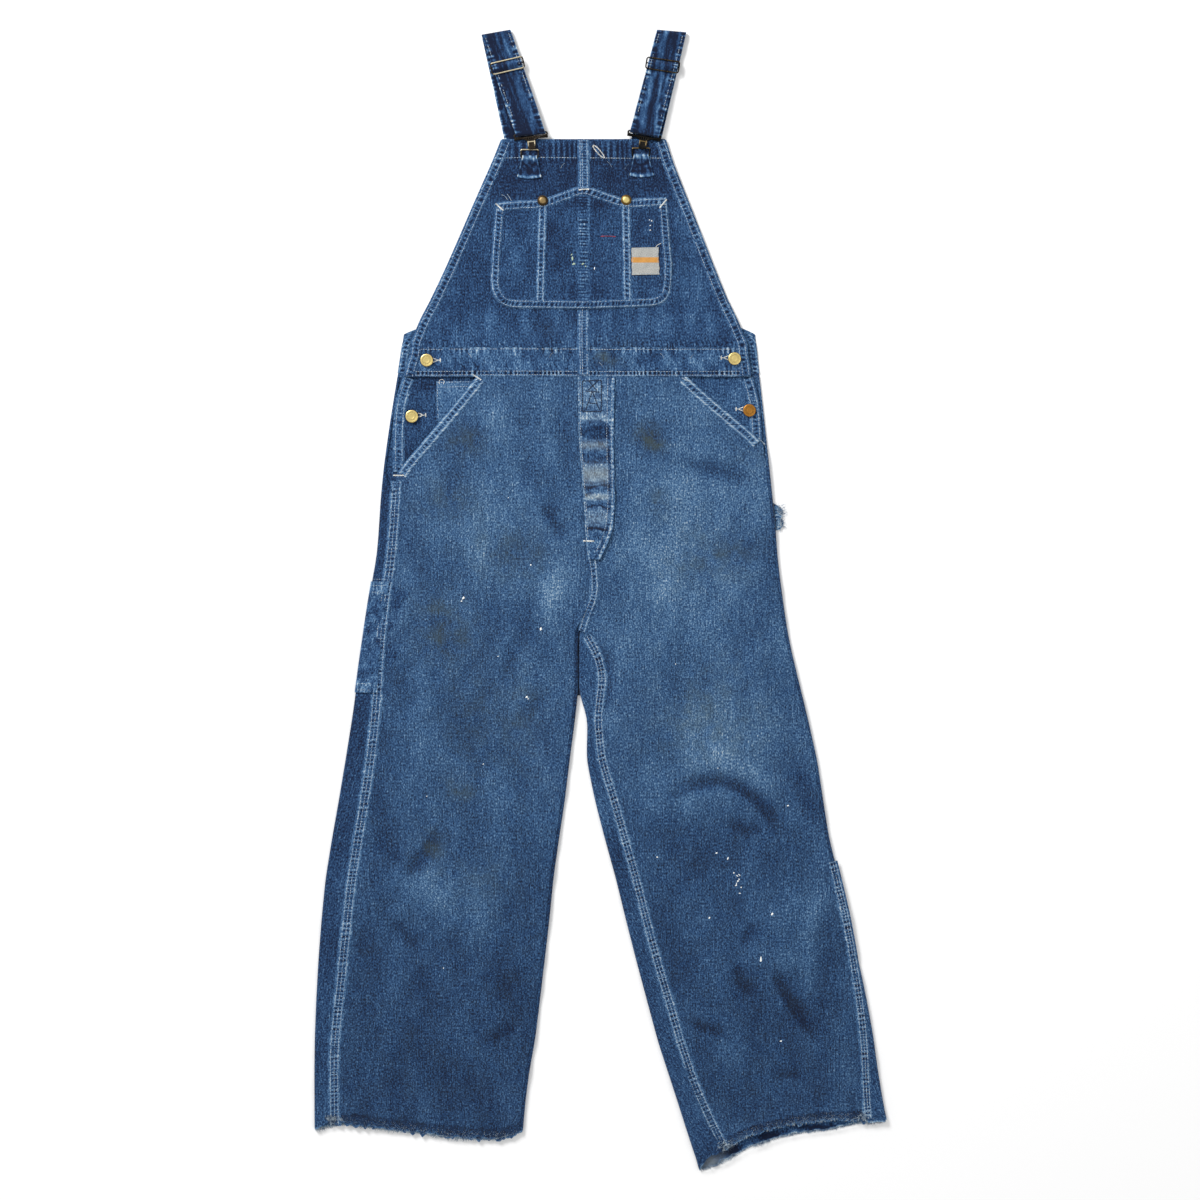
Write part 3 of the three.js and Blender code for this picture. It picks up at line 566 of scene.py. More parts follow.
# Creases: line, height and half width in mm, and how much wider its left side is.
CREASES = {
    "left": [
        ([(-68, 54), (-103, -51), (-129, -128)], -2.2, 12, 2.2),
        ([(-50, 45), (-85, -55), (-112, -150)], 1.6, 16, 1.0),
        ([(-76, 125), (-60, 100), (-45, 76)], -1.5, 6, 1.6),
        ([(-103, 280), (-98, 200), (-90, 130)], -1.0, 10, 1.5),
        ([(-72, 280), (-66, 210), (-58, 150)], 1.0, 9, 1.0),
        ([(-46, 280), (-44, 200), (-40, 120)], -0.9, 8, 1.5),
        ([(-130, 280), (-135, 220), (-150, 150)], 0.9, 14, 1.0),
        ([(-170, 190), (-200, 140), (-235, 90)], -1.2, 14, 1.6),
        ([(-215, -40), (-225, -140), (-240, -260)], 1.3, 26, 1.0),
        ([(-160, -60), (-170, -170), (-165, -290)], -1.0, 30, 1.4),
        ([(-203, -285), (-214, -305), (-234, -332), (-256, -362)], -1.6, 6, 2.0),
        ([(-235, -330), (-218, -371), (-180, -400)], 1.2, 22, 1.0),
        ([(-300, -300), (-260, -330), (-200, -352)], -1.3, 14, 1.5),
        ([(-120, -200), (-140, -300), (-160, -420)], 1.0, 24, 1.0),
        ([(-100, -330), (-130, -430), (-150, -560)], -1.1, 18, 1.5),
        ([(-250, -430), (-265, -520), (-262, -640)], 1.3, 24, 1.0),
        ([(-272, -405), (-252, -428), (-225, -450)], -1.3, 8, 1.5),
        ([(-165, -570), (-135, -560), (-100, -540)], -1.3, 7, 1.5),
        ([(-262, -555), (-268, -600), (-258, -640)], -1.1, 13, 1.3),
    ],
    "right": [
        ([(5.5, -51), (2.3, -102), (-0.2, -148)], -2.4, 5, 2.5),
        ([(22, -55), (16, -120), (14, -190)], 1.4, 12, 1.0),
        ([(87, 183), (140, 170), (197, 152)], -1.1, 13, 1.6),
        ([(60, 205), (110, 190), (190, 178)], 0.9, 16, 1.0),
        ([(72, -257), (98, -247), (124, -238), (150, -233), (176, -241), (200, -257), (216, -282),
          (232, -320)], -2.4, 6, 2.2),
        ([(100, -215), (150, -205), (205, -228), (235, -268)], 2.2, 20, 1.0),
        ([(160, -286), (187, -296), (212, -292)], -1.5, 6, 1.5),
        ([(240, -210), (262, -240), (285, -300)], -1.5, 10, 1.6),
        ([(196, -412), (186, -428), (181, -446)], -1.6, 5, 1.6),
        ([(205, -469), (224, -482), (239, -511), (262, -545), (283, -575)], -2.3, 6, 2.0),
        ([(225, -450), (262, -470), (275, -520)], 1.8, 14, 1.0),
        ([(172, -460), (177, -488), (197, -511)], -2.1, 5.5, 1.8),
        ([(106, -536), (134, -549), (167, -557)], -1.8, 5, 1.6),
        ([(217, -611), (245, -608), (267, -611)], -1.3, 6, 1.8),
        ([(120, -420), (150, -520), (180, -640)], 1.4, 24, 1.0),
        ([(290, -350), (270, -420), (262, -480)], 1.6, 16, 1.0),
        ([(60, -330), (90, -420), (130, -520)], -1.0, 22, 1.0),
        ([(230, -20), (215, -90), (200, -170)], 1.1, 24, 1.0),
        ([(205, 40), (180, -20), (172, -90)], -1.0, 20, 1.4),
        ([(30, 60), (60, 30), (100, 20)], -0.8, 14, 1.0),
    ],
}
# Bleached and darker areas: place, half sizes, turn, and how much paler (or darker, below zero).
FADES = {
    "left": [
        ((-58, 16), (26, 26), 0, 0.13), ((-140, 110), (70, 110), 0, 0.20), ((-56, 15), (26, 34), 0, 0.34),
        ((-160, 20), (80, 60), 0, 0.05), ((-170, 205), (22, 20), 0, -0.22),
        ((-193, 128), (30, 22), 0, -0.12), ((-117, 60), (34, 26), 0, -0.18),
        ((-205, -378), (60, 48), 0, 0.16), ((-150, -240), (80, 90), 0, 0.02),
        ((-235, -440), (190, 200), 0, -0.1), ((-220, -600), (170, 130), 0, -0.24),
        ((-90, -500), (40, 150), 0, -0.16), ((-290, -150), (20, 220), 0, -0.2),
        ((-110, 250), (60, 40), 0, 0.06), ((-60, -110), (30, 60), -20, 0.05),
        ((-150, -430), (60, 50), 0, 0.04), ((-180, -50), (60, 30), 0, -0.14),
        ((-205, -90), (26, 50), 0, -0.08),
    ],
    "right": [
        ((120, 0), (60, 50), 0, 0.06), ((120, 90), (90, 120), 0, 0.34), ((142, -168), (75, 62), 0, 0.33),
        ((64, 207), (17, 16), -30, -0.42), ((76, 125), (12, 14), 0, -0.2),
        ((142, 168), (60, 10), -16, -0.26), ((170, 60), (40, 50), 0, -0.12), ((60, 20), (60, 60), 0, 0.16),
        ((180, -330), (110, 60), 0, -0.14), ((200, -560), (160, 130), 0, -0.24),
        ((200, -270), (40, 22), -30, -0.1), ((100, -400), (60, 110), 20, -0.1),
        ((120, 250), (80, 40), 0, 0.16), ((190, 60), (26, 20), 0, -0.16), ((110, 40), (26, 22), 0, -0.12),
        ((250, -120), (26, 120), 8, 0.05), ((232, -400), (40, 50), 0, 0.1),
        ((270, -560), (50, 70), 0, -0.05),
    ],
}
# Dull greenish-brown stains: place, half sizes, strength.
STAINS = {
    "left": [
        ((-170, 205), (26, 22), 0.45), ((-193, 128), (38, 26), 0.4), ((-117, 60), (50, 34), 0.42),
        ((-208, -10), (30, 24), 0.35), ((-195, -50), (36, 30), 0.45), ((-160, -150), (40, 60), 0.25),
        ((-178, -245), (22, 20), 0.4), ((-215, -320), (20, 30), 0.4), ((-100, -150), (22, 60), 0.3),
        ((-150, -360), (40, 30), 0.25),
    ],
    "right": [
        ((60, 212), (15, 12), 0.95), ((72, 201), (15, 11), 0.85), ((76, 125), (12, 16), 0.7),
        ((125, 82), (20, 20), 0.3), ((165, 55), (34, 26), 0.4), ((110, 40), (30, 24), 0.3),
        ((142, -166), (60, 50), 0.35), ((120, -150), (20, 30), 0.3), ((150, -100), (30, 30), 0.2),
        ((190, 180), (24, 14), 0.2),
    ],
}


def gape(x):
    """How far the front hem of the right leg stands above the back one, between its seams."""
    return 5.5 * MM * fade_mm(160, 195, x) * fade_mm(350, 300, x)


def front_leg(name, seed):
    """A front trouser panel: level at its seams, with its creases, fades and stains between them, and shade
    painted into its creases and troughs.
    """
    node = f"front_leg_{name}"
    shape = Outline(node, ease=1)
    x, y = by_levels(shape, FRONT_STEP)
    z = blurred(height_of(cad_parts[node])(x, y), 4)
    free = fade_mm(0, 26, x - shape.left(y)) * fade_mm(0, 26, shape.right(y) - x)
    shaped = 0.6 * MM * undulation(x, y, 120, seed, 1.8) + 0.25 * MM * undulation(x, y, 38, seed + 1, 1.5)
    folds = sum(crease(x, y, line, height, width, lean) for line, height, width, lean in CREASES[name])
    crease_shading = sum(min(1, 7 / width) * crease(x, y, line, height, width, lean)
                for line, height, width, lean in CREASES[name])
    shaped += folds
    loose = fade_mm(230, 120, y)
    z = z + shaped * mix(0.3, 1.0, free) * mix(0.5, 1.0, loose)
    z = np.maximum(z, FRONT_REST)
    grid = np.stack([x, y, z], axis=-1)
    # Paler on ridges where the cloth wears, darker in the troughs as painted shade.
    ridges = (z - blurred(z, 6)) / MM
    worn = 0.12 * np.clip(ridges, -1.2, 1.2) + 0.05 * undulation(x, y, 60, seed + 2, 2)
    # The creases are painted darker along their troughs as shade, and paler along their crests.
    worn += 0.125 * np.clip(crease_shading / MM, -2.4, 1.2)
    worn += -0.14 + sum(amount * spot(x, y, place, size, turn) for place, size, turn, amount in FADES[name])
    stain = 0.12 + sum(amount * spot(x, y, place, size) for place, size, amount in STAINS[name])
    above_hem = y - shape.bottom(x)
    cuff = fade_mm(13.5, 12, above_hem + 1.5 * MM * undulation(x, x, 60, seed + 3))
    worn += -0.27 * cuff - 0.32 * hump(above_hem, 13, 2.2)
    worn += 0.75 * fade_mm(4, 0.2, above_hem)
    torn = undulation(x, x, 15, seed + 5) + 0.6 * undulation(x, x, 6, seed + 6)
    grid[..., 1] += 1.3 * MM * torn * fade_mm(16, 0, above_hem) + gape(x) * fade_mm(24, 0, above_hem)
    lit = fade_mm(-560, -640, y)
    piece = shell(f"front_panel_{name}", grid, -1, {"worn": worn, "stain": stain}, denim, reverse=lit)
    as_cloth(piece, node)
    return piece


front_legs = {"left": front_leg("left", 21), "right": front_leg("right", 24)}

# ---- Seams of the legs ----
# Each leg is closed with a felled seam: the edges folded into one another and stitched down in rows.
# The thread has shrunk less than the cloth, so the seam puckers into pale rungs with dark dips between.
SEAM_STEP = 1.5  # mm between the points along a seam
SEAM_GRAIN = 1.15  # mm between the points across it
STITCH_LAY = 8  # mm between the points that a row of stitches follows
SEAM_PITCH = 4.8  # mm from one pucker to the next


def line_mm(*points):
    """A line through points given in mm."""
    return np.array(points, float) * MM


def evenly(points, step):
    """Points at even steps, in mm, along a smooth curve through the given ones."""
    points = np.asarray(points, float)
    whole = np.vstack([2 * points[0] - points[1], points, 2 * points[-1] - points[-2]])
    t = np.linspace(0, 1, 12, endpoint=False)[:, None]
    curve = []
    for a, b, c, d in zip(whole, whole[1:], whole[2:], whole[3:]):
        curve.append(0.5 * (2 * b + (c - a) * t + (2 * a - 5 * b + 4 * c - d) * t ** 2
                            + (3 * b - a - 3 * c + d) * t ** 3))
    curve = np.vstack([*curve, points[-1:]])
    run = np.concatenate([[0], np.cumsum(np.linalg.norm(np.diff(curve, axis=0), axis=1))])
    at = np.linspace(0, run[-1], max(3, int(run[-1] / (step * MM)) + 1))
    return np.stack([np.interp(at, run, curve[:, k]) for k in range(curve.shape[1])], axis=1)


def leftward(line):
    """Unit vectors to the left of a line of points, seen from above."""
    along = np.gradient(line[:, :2], axis=0)
    along /= np.linalg.norm(along, axis=1, keepdims=True)
    return np.stack([-along[:, 1], along[:, 0]], axis=1)


def beside(line, distance):
    """A line moved to its left by a distance in mm."""
    return line[:, :2] + leftward(line) * (distance * MM)


def swell(at, size, seed):
    """An undulation along one way only."""
    return undulation(at, at * 0, size, seed)


def band(name, line, width, ground, parent, seed, rise=0.8, pale=0.16, lanes=(0.0,), edges=(0.38, 0.38),
         pucker=0.32, pitch=SEAM_PITCH, skirt=2.2, dark=0.62):
    """A puckered strip of seam along a line: raised layers with pale edges and dark dips in its lanes."""
    line = evenly(line, SEAM_STEP)
    left = leftward(line)
    width, skirt, pitch = width * MM, skirt * MM, pitch * MM
    half = width / 2
    across = np.linspace(half + skirt, -half - skirt, int((width + 2 * skirt) / (SEAM_GRAIN * MM)) + 1)
    x = line[:, 0, None] + left[:, 0, None] * across
    y = line[:, 1, None] + left[:, 1, None] * across
    base = blurred(ground(x, y), 2)
    run = np.arange(len(line)) * (SEAM_STEP * MM)
    rng = np.random.default_rng(seed)
    lead = swell(run, 26, seed)
    phase = run * 2 * math.pi / pitch + 1.5 * lead
    strength = np.clip(0.8 + 0.35 * swell(run, 17, seed + 1), 0.25, 1.3)
    slant = rng.uniform(-0.5, 0.5)
    wave = np.sin(phase[:, None] + slant * across / MM * 0.5)
    body = fade(half + skirt, half - 0.6 * MM, np.abs(across))
    reach = np.exp(-((np.abs(across) / (half + 0.6 * skirt)) ** 4))
    lane = sum(hump(across, at, 1.5) for at in lanes)
    lane = np.clip(lane, 0, 1)
    z = base + 0.12 * MM + body * rise * MM
    z = z + strength[:, None] * wave * pucker * MM * (0.35 * reach + 0.65 * lane) - lane * 0.2 * rise * MM
    side = np.where(across > 0, edges[0], edges[1])
    worn = -0.14 + pale * body + side * hump(np.abs(across) - half, -0.9, 1)
    worn = worn + strength[:, None] * wave * (0.38 * lane + 0.2 * reach) - dark * lane * (0.45 - 0.4 * wave)
    worn = worn + 0.06 * undulation(x, y, 30, seed + 2)
    grid = np.stack([x, y, z], axis=-1)
    return shell(name, grid, 1, {"worn": worn, "stain": 0.0}, denim, thickness=0.3 * MM, reverse=0.0,
                 parent=parent)


def thread_finish(name, pale, dull):
    """Cotton sewing thread: a pale twist, dulled in patches by wear and dye."""
    material, n = bare_material(name)
    cloth = n.cloth_map()
    patch = n.noise(cloth, 160.0, 2.0, 0.6)
    ply = n.bands("DIAGONAL", cloth, 900.0)
    colour = n.blend(n.ramp(patch, ((0.35, (0, 0, 0, 1)), (0.65, (1, 1, 1, 1)))), pale, dull)
    n.surface(Base_Color=colour, Roughness=0.8, Normal=n.bump(0.4, 0.2, ply), Specular_IOR_Level=0.3)
    return material


pale_thread = thread_finish("pale_thread", tint(192, 202, 208), tint(112, 138, 164))
white_thread = thread_finish("white_thread", tint(240, 240, 234), tint(205, 206, 200))
navy_thread = thread_finish("navy_thread", tint(22, 30, 48), tint(34, 46, 70))


def stitches(name, lines, ground, parent, seed, thread=None, pitch=3.3, length=2.5, width=0.62, height=0.3,
             missing=0.04):
    """Rows of lock stitches along lines, as one joined mesh; each stitch dips into the cloth at its ends."""
    rng = np.random.default_rng(seed)
    starts, stops = [], []
    for line in lines:
        path = evenly(line, pitch)
        step = path[1:] - path[:-1]
        lead = (1 - length / pitch) / 2
        starts.append(path[:-1] + step * lead)
        stops.append(path[:-1] + step * (1 - lead))
    start, stop = np.concatenate(starts)[:, :2], np.concatenate(stops)[:, :2]
    kept = rng.uniform(size=len(start)) > missing
    start, stop = start[kept], stop[kept]
    start, stop = start + rng.normal(0, 0.12 * MM, start.shape), stop + rng.normal(0, 0.12 * MM, stop.shape)
    along = (stop - start) / np.linalg.norm(stop - start, axis=1, keepdims=True)
    left = np.stack([-along[:, 1], along[:, 0]], axis=1)
    stations = []
    for share, lift, wide in ((0.0, -0.12, 0.6), (0.5, 1.0, 1.0), (1.0, -0.12, 0.6)):
        at = mix(start, stop, share)
        z = ground(at[:, 0], at[:, 1]) + lift * height * MM
        for side, up in ((-1, 0), (0, 0.5), (1, 0), (0, -0.5)):
            flat = at + left * side * wide * width * MM / 2
            stations.append(np.column_stack([flat, z + up * height * MM]))
    points = np.stack(stations, axis=1).reshape(-1, 3)
    ring = np.arange(4)
    quads = [np.stack([ring + 4 * s, (ring + 1) % 4 + 4 * s, (ring + 1) % 4 + 4 * s + 4, ring + 4 * s + 4],
                      axis=1) for s in (0, 1)]
    one = np.concatenate([*quads, [[3, 2, 1, 0], [8, 9, 10, 11]]])
    faces = (one[None] + 12 * np.arange(len(start))[:, None, None]).reshape(-1, 4)
    return mesh_of(name, points, faces[:, ::-1], {}, points[:, :2], thread or pale_thread, 80, parent)


def side_line(node, side, low, high, offset, points):
    """A line down one side of a frame node, moved to the right by an offset."""
    shape = Outline(node)
    y = np.linspace(high, low, points) * MM
    x = shape.left(y) if side == "left" else shape.right(y)
    return np.stack([x + offset * MM, y], axis=1)


def sewn_band(strip_name, thread_name, line, width, ground, parent, seeds, rows, **look):
    """A band with its rows of stitching, each a distance in mm to the left of its line."""
    strip = band(strip_name, line, width, ground, parent, seeds[0], **look)
    path = evenly(line, STITCH_LAY)
    stitches(thread_name, [beside(path, at) for at in rows], height_of(strip), parent, seeds[1])


def sewn_seam(name, line, width, ground, parent, seed, rows, lanes, **look):
    sewn_band(f"{name}_seam", f"{name}_stitches", line, width, ground, parent, (seed, seed + 5), rows,
              lanes=lanes, **look)


legs_top = height_of(*back_legs.values(), *front_legs.values())
left_side = side_line("front_leg_left", "left", -673, 152, 0.0, 24)
left_side[:, 0] += np.interp(left_side[:, 1], [-0.12, 0.02, 0.1, 0.152], [0, -0.003, -0.003, 0.0005])
sewn_seam("left_side", left_side, 12.5, legs_top, front_legs["left"], 31, (-4.6, 0.0, 4.6), (-2.3, 2.3))
inseam = side_line("front_leg_right", "left", -700, -46, 1.0, 26)
sewn_seam("right_inner", inseam, 11.0, legs_top, front_legs["right"], 37, (-4.0, 0.0, 4.0), (-2.0, 2.0))
right_side = side_line("front_leg_right", "right", -664, -335, 1.0, 12)
sewn_seam("right_side", right_side, 9.5, legs_top, front_legs["right"], 43, (-3.2, 0.6, 4.0), (-1.4, 2.3))

# The turned edge inside the fork, between the tops of the legs, painted very dark and dull as the deep shade
# there.
fork_y = np.linspace(-30, -122, 34) * MM
fork_middle = np.interp(fork_y, np.array([-122, -90, -60]) * MM, np.array([-28.4, -28.2, -28.0]) * MM)
x = fork_middle[:, None] + np.linspace(-5, 5, 7)[None, :] * MM
y = fork_y[:, None] + 0 * x
fork_grid = np.stack([x, y, 1.4 * MM + 0.2 * MM * undulation(x, y, 12, 49)], axis=-1)
shell("fork_shade_strip", fork_grid, -1, {"worn": -1.1, "stain": 0.3}, denim, thickness=0.6 * MM, reverse=0.0,
      parent=back_legs["right"])

# ---- Tool pocket ----
# A narrow pocket sewn on the left back panel, of which the hemmed side rolls round to the front seam.
# Its top and bottom hems are turned twice and double stitched, so they stand proud, pale and puckered.
TOOL_STEP = 2 * MM
tool = Outline("tool_pocket")
tool_levels, tool_tops, tool_wraps = arms("tool_pocket", tool)[0]
tool_rows = int((tool.high.y - tool.low.y) / TOOL_STEP) + 1
tool_cols = int((tool.high.x - tool.low.x - 24 * MM) / (5 * MM))
tool_grid = np.zeros((tool_rows, 17 + WRAP_STEPS + tool_cols, 3))
for r, level in enumerate(np.linspace(tool.high.y, tool.low.y, tool_rows)):
    edge = tool.left(level)
    inside = np.linspace(edge + 4 * MM, tool.high.x, tool_cols)
    x, z = rolled(edge, np.interp(level, tool_levels, tool_tops), 0.0,
                  np.interp(level, tool_levels, tool_wraps), 1, flat=18)
    tool_grid[r] = np.stack([np.concatenate([x, inside]), np.full(len(x) + tool_cols, level),
                             np.concatenate([z, np.zeros(tool_cols)])], axis=-1)


def ripple(at, pitch, lead):
    """The waves of cloth along a stitched edge: their pitch in mm, and how far they run ahead."""
    return np.sin(at * 2 * math.pi / (pitch * MM) + lead)


x, y = tool_grid[..., 0], tool_grid[..., 1]
top_hem = fade_mm(6, 8.5, y)
low_hem = fade_mm(-104, -106.5, y)
hems = top_hem + low_hem
ladder = ripple(x, 5.2, 1.2 * undulation(x, y, 20, 51))
on_top = fade_mm(3, 5, tool_grid[..., 2])
tool_grid[..., 2] += on_top * (0.3 * MM * undulation(x, y, 18, 52) + hems * MM * (0.5 + 0.25 * ladder))
tool_worn = -0.16 + hems * (0.3 + 0.22 * ladder) + 0.12 * undulation(x, y, 14, 53)
tool_pocket = shell("tool_pocket_cloth", tool_grid, 1, {"worn": tool_worn, "stain": 0.0}, denim)
as_cloth(tool_pocket, "tool_pocket")
tool_lines = []
for row in np.array([26.5, 18.5, 10.0, -107.0, -115.0]) * MM:
    start = tool.left(row) + 3 * MM
    tool_lines.append([(start + run * MM, row) for run in (0, 9, 17)])
stitches("tool_pocket_stitches", tool_lines, height_of(tool_pocket), tool_pocket, 54)

# ---- Torn scrap ----
# A rag of the right back panel that sticks out at the hip, where the cloth is torn beside the seam.
# Nothing holds it but its own weave, which has come loose into soft pale weft ends.
SCRAP_STEP = 1.5 * MM
REST = DENIM + 0.05 * MM  # the outer face of a layer on the floor lies no lower than this
x, y = by_levels(Outline("torn_scrap", ease=0), SCRAP_STEP, bend=0.05)
scrap_height = np.maximum(1.6 * MM + 0.5 * MM * undulation(x, y, 9, 61), REST)
scrap_grid = np.stack([x, y, scrap_height], axis=-1)
scrap_worn = 0.25 + 0.45 * undulation(x, y, 6, 62)
scrap = shell("torn_rag", scrap_grid, -1, {"worn": scrap_worn, "stain": 0.25}, denim)
as_cloth(scrap, "torn_scrap")

# ---- Pocket facings and watch pocket ----
# Denim facings close the slanted pockets behind their mouths. The left one carries a small watch pocket.
# Their outer edges are the hems of the buttoned side openings.
def by_columns(shape, step):
    """Points over an outline, column by column, that follow its top and bottom ends."""
    rows = int((shape.high.y - shape.low.y) / step) + 1
    cols = int((shape.high.x - shape.low.x) / step) + 1
    down, across = np.meshgrid(np.linspace(0, 1, rows), np.linspace(0, 1, cols), indexing="ij")
    x = mix(shape.low.x, shape.high.x, across)
    return x, mix(shape.top(x), shape.bottom(x), down)


def flat_piece(name, node, step, seed, columns=False, worn=-0.15, relief=0.25, stains=(), extra=None,
               ease=1, wide=1):
    """A flat-lying cloth over a frame node, with points every step mm and its own relief and fades, and shade
    painted into its hollows.
    """
    shape = Outline(node, ease=ease, whole_ends=columns)
    x, y = by_columns(shape, step * MM) if columns else by_levels(shape, step * MM, bend=0.12, wide=wide)
    z = blurred(height_of(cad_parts[node])(x, y), 2)
    z = z + relief * MM * undulation(x, y, 34, seed) + 0.3 * relief * MM * undulation(x, y, 13, seed + 1)
    tone = worn + 0.06 * undulation(x, y, 40, seed + 2, 2)
    if extra:
        lift, shade = extra(x, y)
        z, tone = z + lift * MM, tone + shade
    z = np.maximum(z, REST)
    grid = np.stack([x, y, z], axis=-1)
    # Paler where the cloth stands up and darker in its hollows: partly wear, partly painted shade.
    ridges = np.clip((z - blurred(z, 5)) / MM, -1, 1)
    stain = sum(amount * spot(x, y, place, size) for place, size, amount in stains)
    piece = shell(name, grid, -1, {"worn": tone + 0.2 * ridges, "stain": stain}, denim)
    as_cloth(piece, node)
    return piece


def left_facing_look(x, y):
    """Painted shade under the waistband and the pocket's mouth, and a strip rubbed pale beside the opening.
    """
    shade = -0.3 * spot(x, y, (-247, 182), (14, 18)) - 0.2 * spot(x, y, (-235, 275), (30, 8))
    return -0.3 * spot(x, y, (-200, 230), (14, 40)), shade + 0.1 * spot(x, y, (-228, 250), (8, 30))


def right_facing_look(x, y):
    return 0.2 * spot(x, y, (165, 262), (20, 8)), 0.12 * spot(x, y, (160, 255), (30, 20))


facing_left = flat_piece("pocket_facing_cloth_left", "pocket_facing_left", 2.4, 71, worn=-0.44,
                         extra=left_facing_look)
facing_right = flat_piece("pocket_facing_cloth_right", "pocket_facing_right", 2.4, 74, worn=-0.2,
                          extra=right_facing_look)
watch_pocket = flat_piece("watch_pocket_cloth", "watch_pocket", 1.6, 77, worn=0.02, relief=0.2)
watch_ground = height_of(watch_pocket, facing_left)
stitches("watch_pocket_stitches",
         [line_mm((-208.5, 278), (-180, 279), (-157, 279)), line_mm((-208.5, 272), (-180, 273), (-166, 273)),
          line_mm((-208.5, 280), (-208.8, 255), (-208, 232))], watch_ground, watch_pocket, 79)

# The hems of the side openings, then the welts along the slanted pocket mouths.
left_placket = side_line("pocket_facing_left", "left", 164, 284, 6.2, 8)
right_placket = side_line("pocket_facing_right", "right", 204, 284, -5.4, 6)
for name, line, parent, seed in (("left_opening", left_placket, facing_left, 81),
                                 ("right_opening", right_placket, facing_right, 84)):
    sewn_band(f"{name}_hem", f"{name}_stitches", line, 11.5, height_of(parent), parent, (seed, seed + 1),
              (4.6, -3.8), lanes=(0.4,), edges=(0.3, 0.15), pucker=0.3)
left_welt = beside(side_line("front_leg_left", "left", 163, 286, 0, 8), 5.2)
right_welt = beside(side_line("front_leg_right", "right", 203, 286, 0, 8), -5.2)
for name, line, parent, seed in (("left_pocket_mouth", left_welt, front_legs["left"], 87),
                                 ("right_pocket_mouth", right_welt, front_legs["right"], 90)):
    sewn_band(f"{name}_hem", f"{name}_stitches", line, 10.5, height_of(parent), parent, (seed, seed + 1),
              (3.6, -3.6), edges=(0.55, 0.55), pale=0.3, pucker=0.34, dark=0.85, skirt=1.2)

# ---- Fly ----
# A long facing covers the buttons of the fly, stitched down its right side in two rows.
# It is rubbed pale over the hidden buttons, dark between them and yellowed by rust, with an old navy repair.
fly_shape = Outline("fly_facing")
FLY_BANDS = (  # middle height, half height, how much paler, how yellow
    (234, 5.5, 0.5, 0.2), (215, 9, -0.45, 0.0), (198, 5, 0.1, 0.5), (182, 7, -0.3, 0.0), (161, 11, 0.3, 0.75),
    (145, 2.0, -0.6, 0.0), (132, 3.5, 0.5, 0.65), (119.5, 1.4, -0.55, 0.0), (105, 10, 0.3, 0.25),
    (91, 1.8, -0.75, 0.0), (261, 17, 0.34, 0.1),
)


def fly_look(x, y):
    """Ridges over the hidden buttons, the folded left edge, and the stitched right edge."""
    from_left, from_right = x - fly_shape.left(y), fly_shape.right(y) - x
    inside = fade_mm(0, 3, from_left) * fade_mm(3, 7, from_right)
    level = y + 1.2 * MM * undulation(x, y, 22, 101)
    shade = sum(pale * hump(level, at, half, 4) for at, half, pale, _ in FLY_BANDS) * inside
    patchy = 0.14 * undulation(x, y, 9, 102) + 0.08 * undulation(x, y, 4.5, 103)
    edges = 0.65 * hump(from_left, 0, 1.1) + 0.5 * hump(from_right, 2.2, 1.5)
    rungs = ripple(y, 4.4, 1.5 * swell(y, 20, 104))
    lane = hump(from_right, 6.8, 1.6)
    edges = edges - 0.5 * lane * (0.6 + 0.4 * rungs) + 0.3 * rungs * hump(from_right, 4, 3.5)
    lift = 0.55 * shade + 0.3 * hump(from_left, 0, 2.4) + 0.3 * rungs * lane + 0.25
    return lift, shade + patchy + edges


fly = flat_piece("fly_cloth", "fly_facing", 1.15, 105, worn=-0.05, relief=0.12, extra=fly_look)
fly_points = np.empty(len(fly.data.vertices) * 3)
fly.data.vertices.foreach_get("co", fly_points)
x, y, _ = fly_points.reshape(-1, 3).T
yellow = sum(amount * hump(y, at, half) for at, half, _, amount in FLY_BANDS)
yellow *= fade_mm(2, 6, x - fly_shape.left(y) + 2 * MM) * fade_mm(4, 12, fly_shape.right(y) - x)
rust = fly.data.attributes.new("rust", "FLOAT", "POINT")
rust.data.foreach_set("value", yellow.astype(np.float32))
fly_top = height_of(fly, *front_legs.values())
fly_right = side_line("fly_facing", "right", 58, 284, 0, 14)
stitches("fly_stitches", [beside(fly_right, -3.2), beside(fly_right, -8.8),
                          side_line("fly_facing", "left", 80, 284, 2.4, 10)], fly_top, fly, 106)
REPAIR = [((-23, 280), (-23, 241)), ((-23, 241), (1, 241)), ((1, 241), (1, 281)), ((-23, 280), (1, 281)),
          ((-19, 243), (-10.5, 267)), ((-10.5, 267), (-1.5, 243)), ((-16, 268), (-4, 280)),
          ((-5, 268), (-15, 280)), ((-17, 252), (-4, 251)), ((-19, 267), (-1, 266))]


def row_between(start, end):
    """A straight row in mm as three points."""
    start, end = np.array(start), np.array(end)
    return np.array([start, mix(start, end, 0.5), end]) * MM


stitches("fly_repair_stitches", [row_between(*ends) for ends in REPAIR], fly_top, fly, 107,
         thread=navy_thread, pitch=2.6, length=2.5, width=1.5, height=0.5, missing=0)
rise = line_mm((-9, 92), (-13, 76), (-10.2, 48), (-7.6, 24), (-8.6, 6), (-13, -8), (-19, -24), (-24, -40))
sewn_seam("rise", rise, 8.5, legs_top, front_legs["right"], 108, (-2.9, 2.9), (0.0,), edges=(0.5, 0.2),
          skirt=1.6)


WHIP_PITCH = 0.62  # mm from one whipped stitch to the next


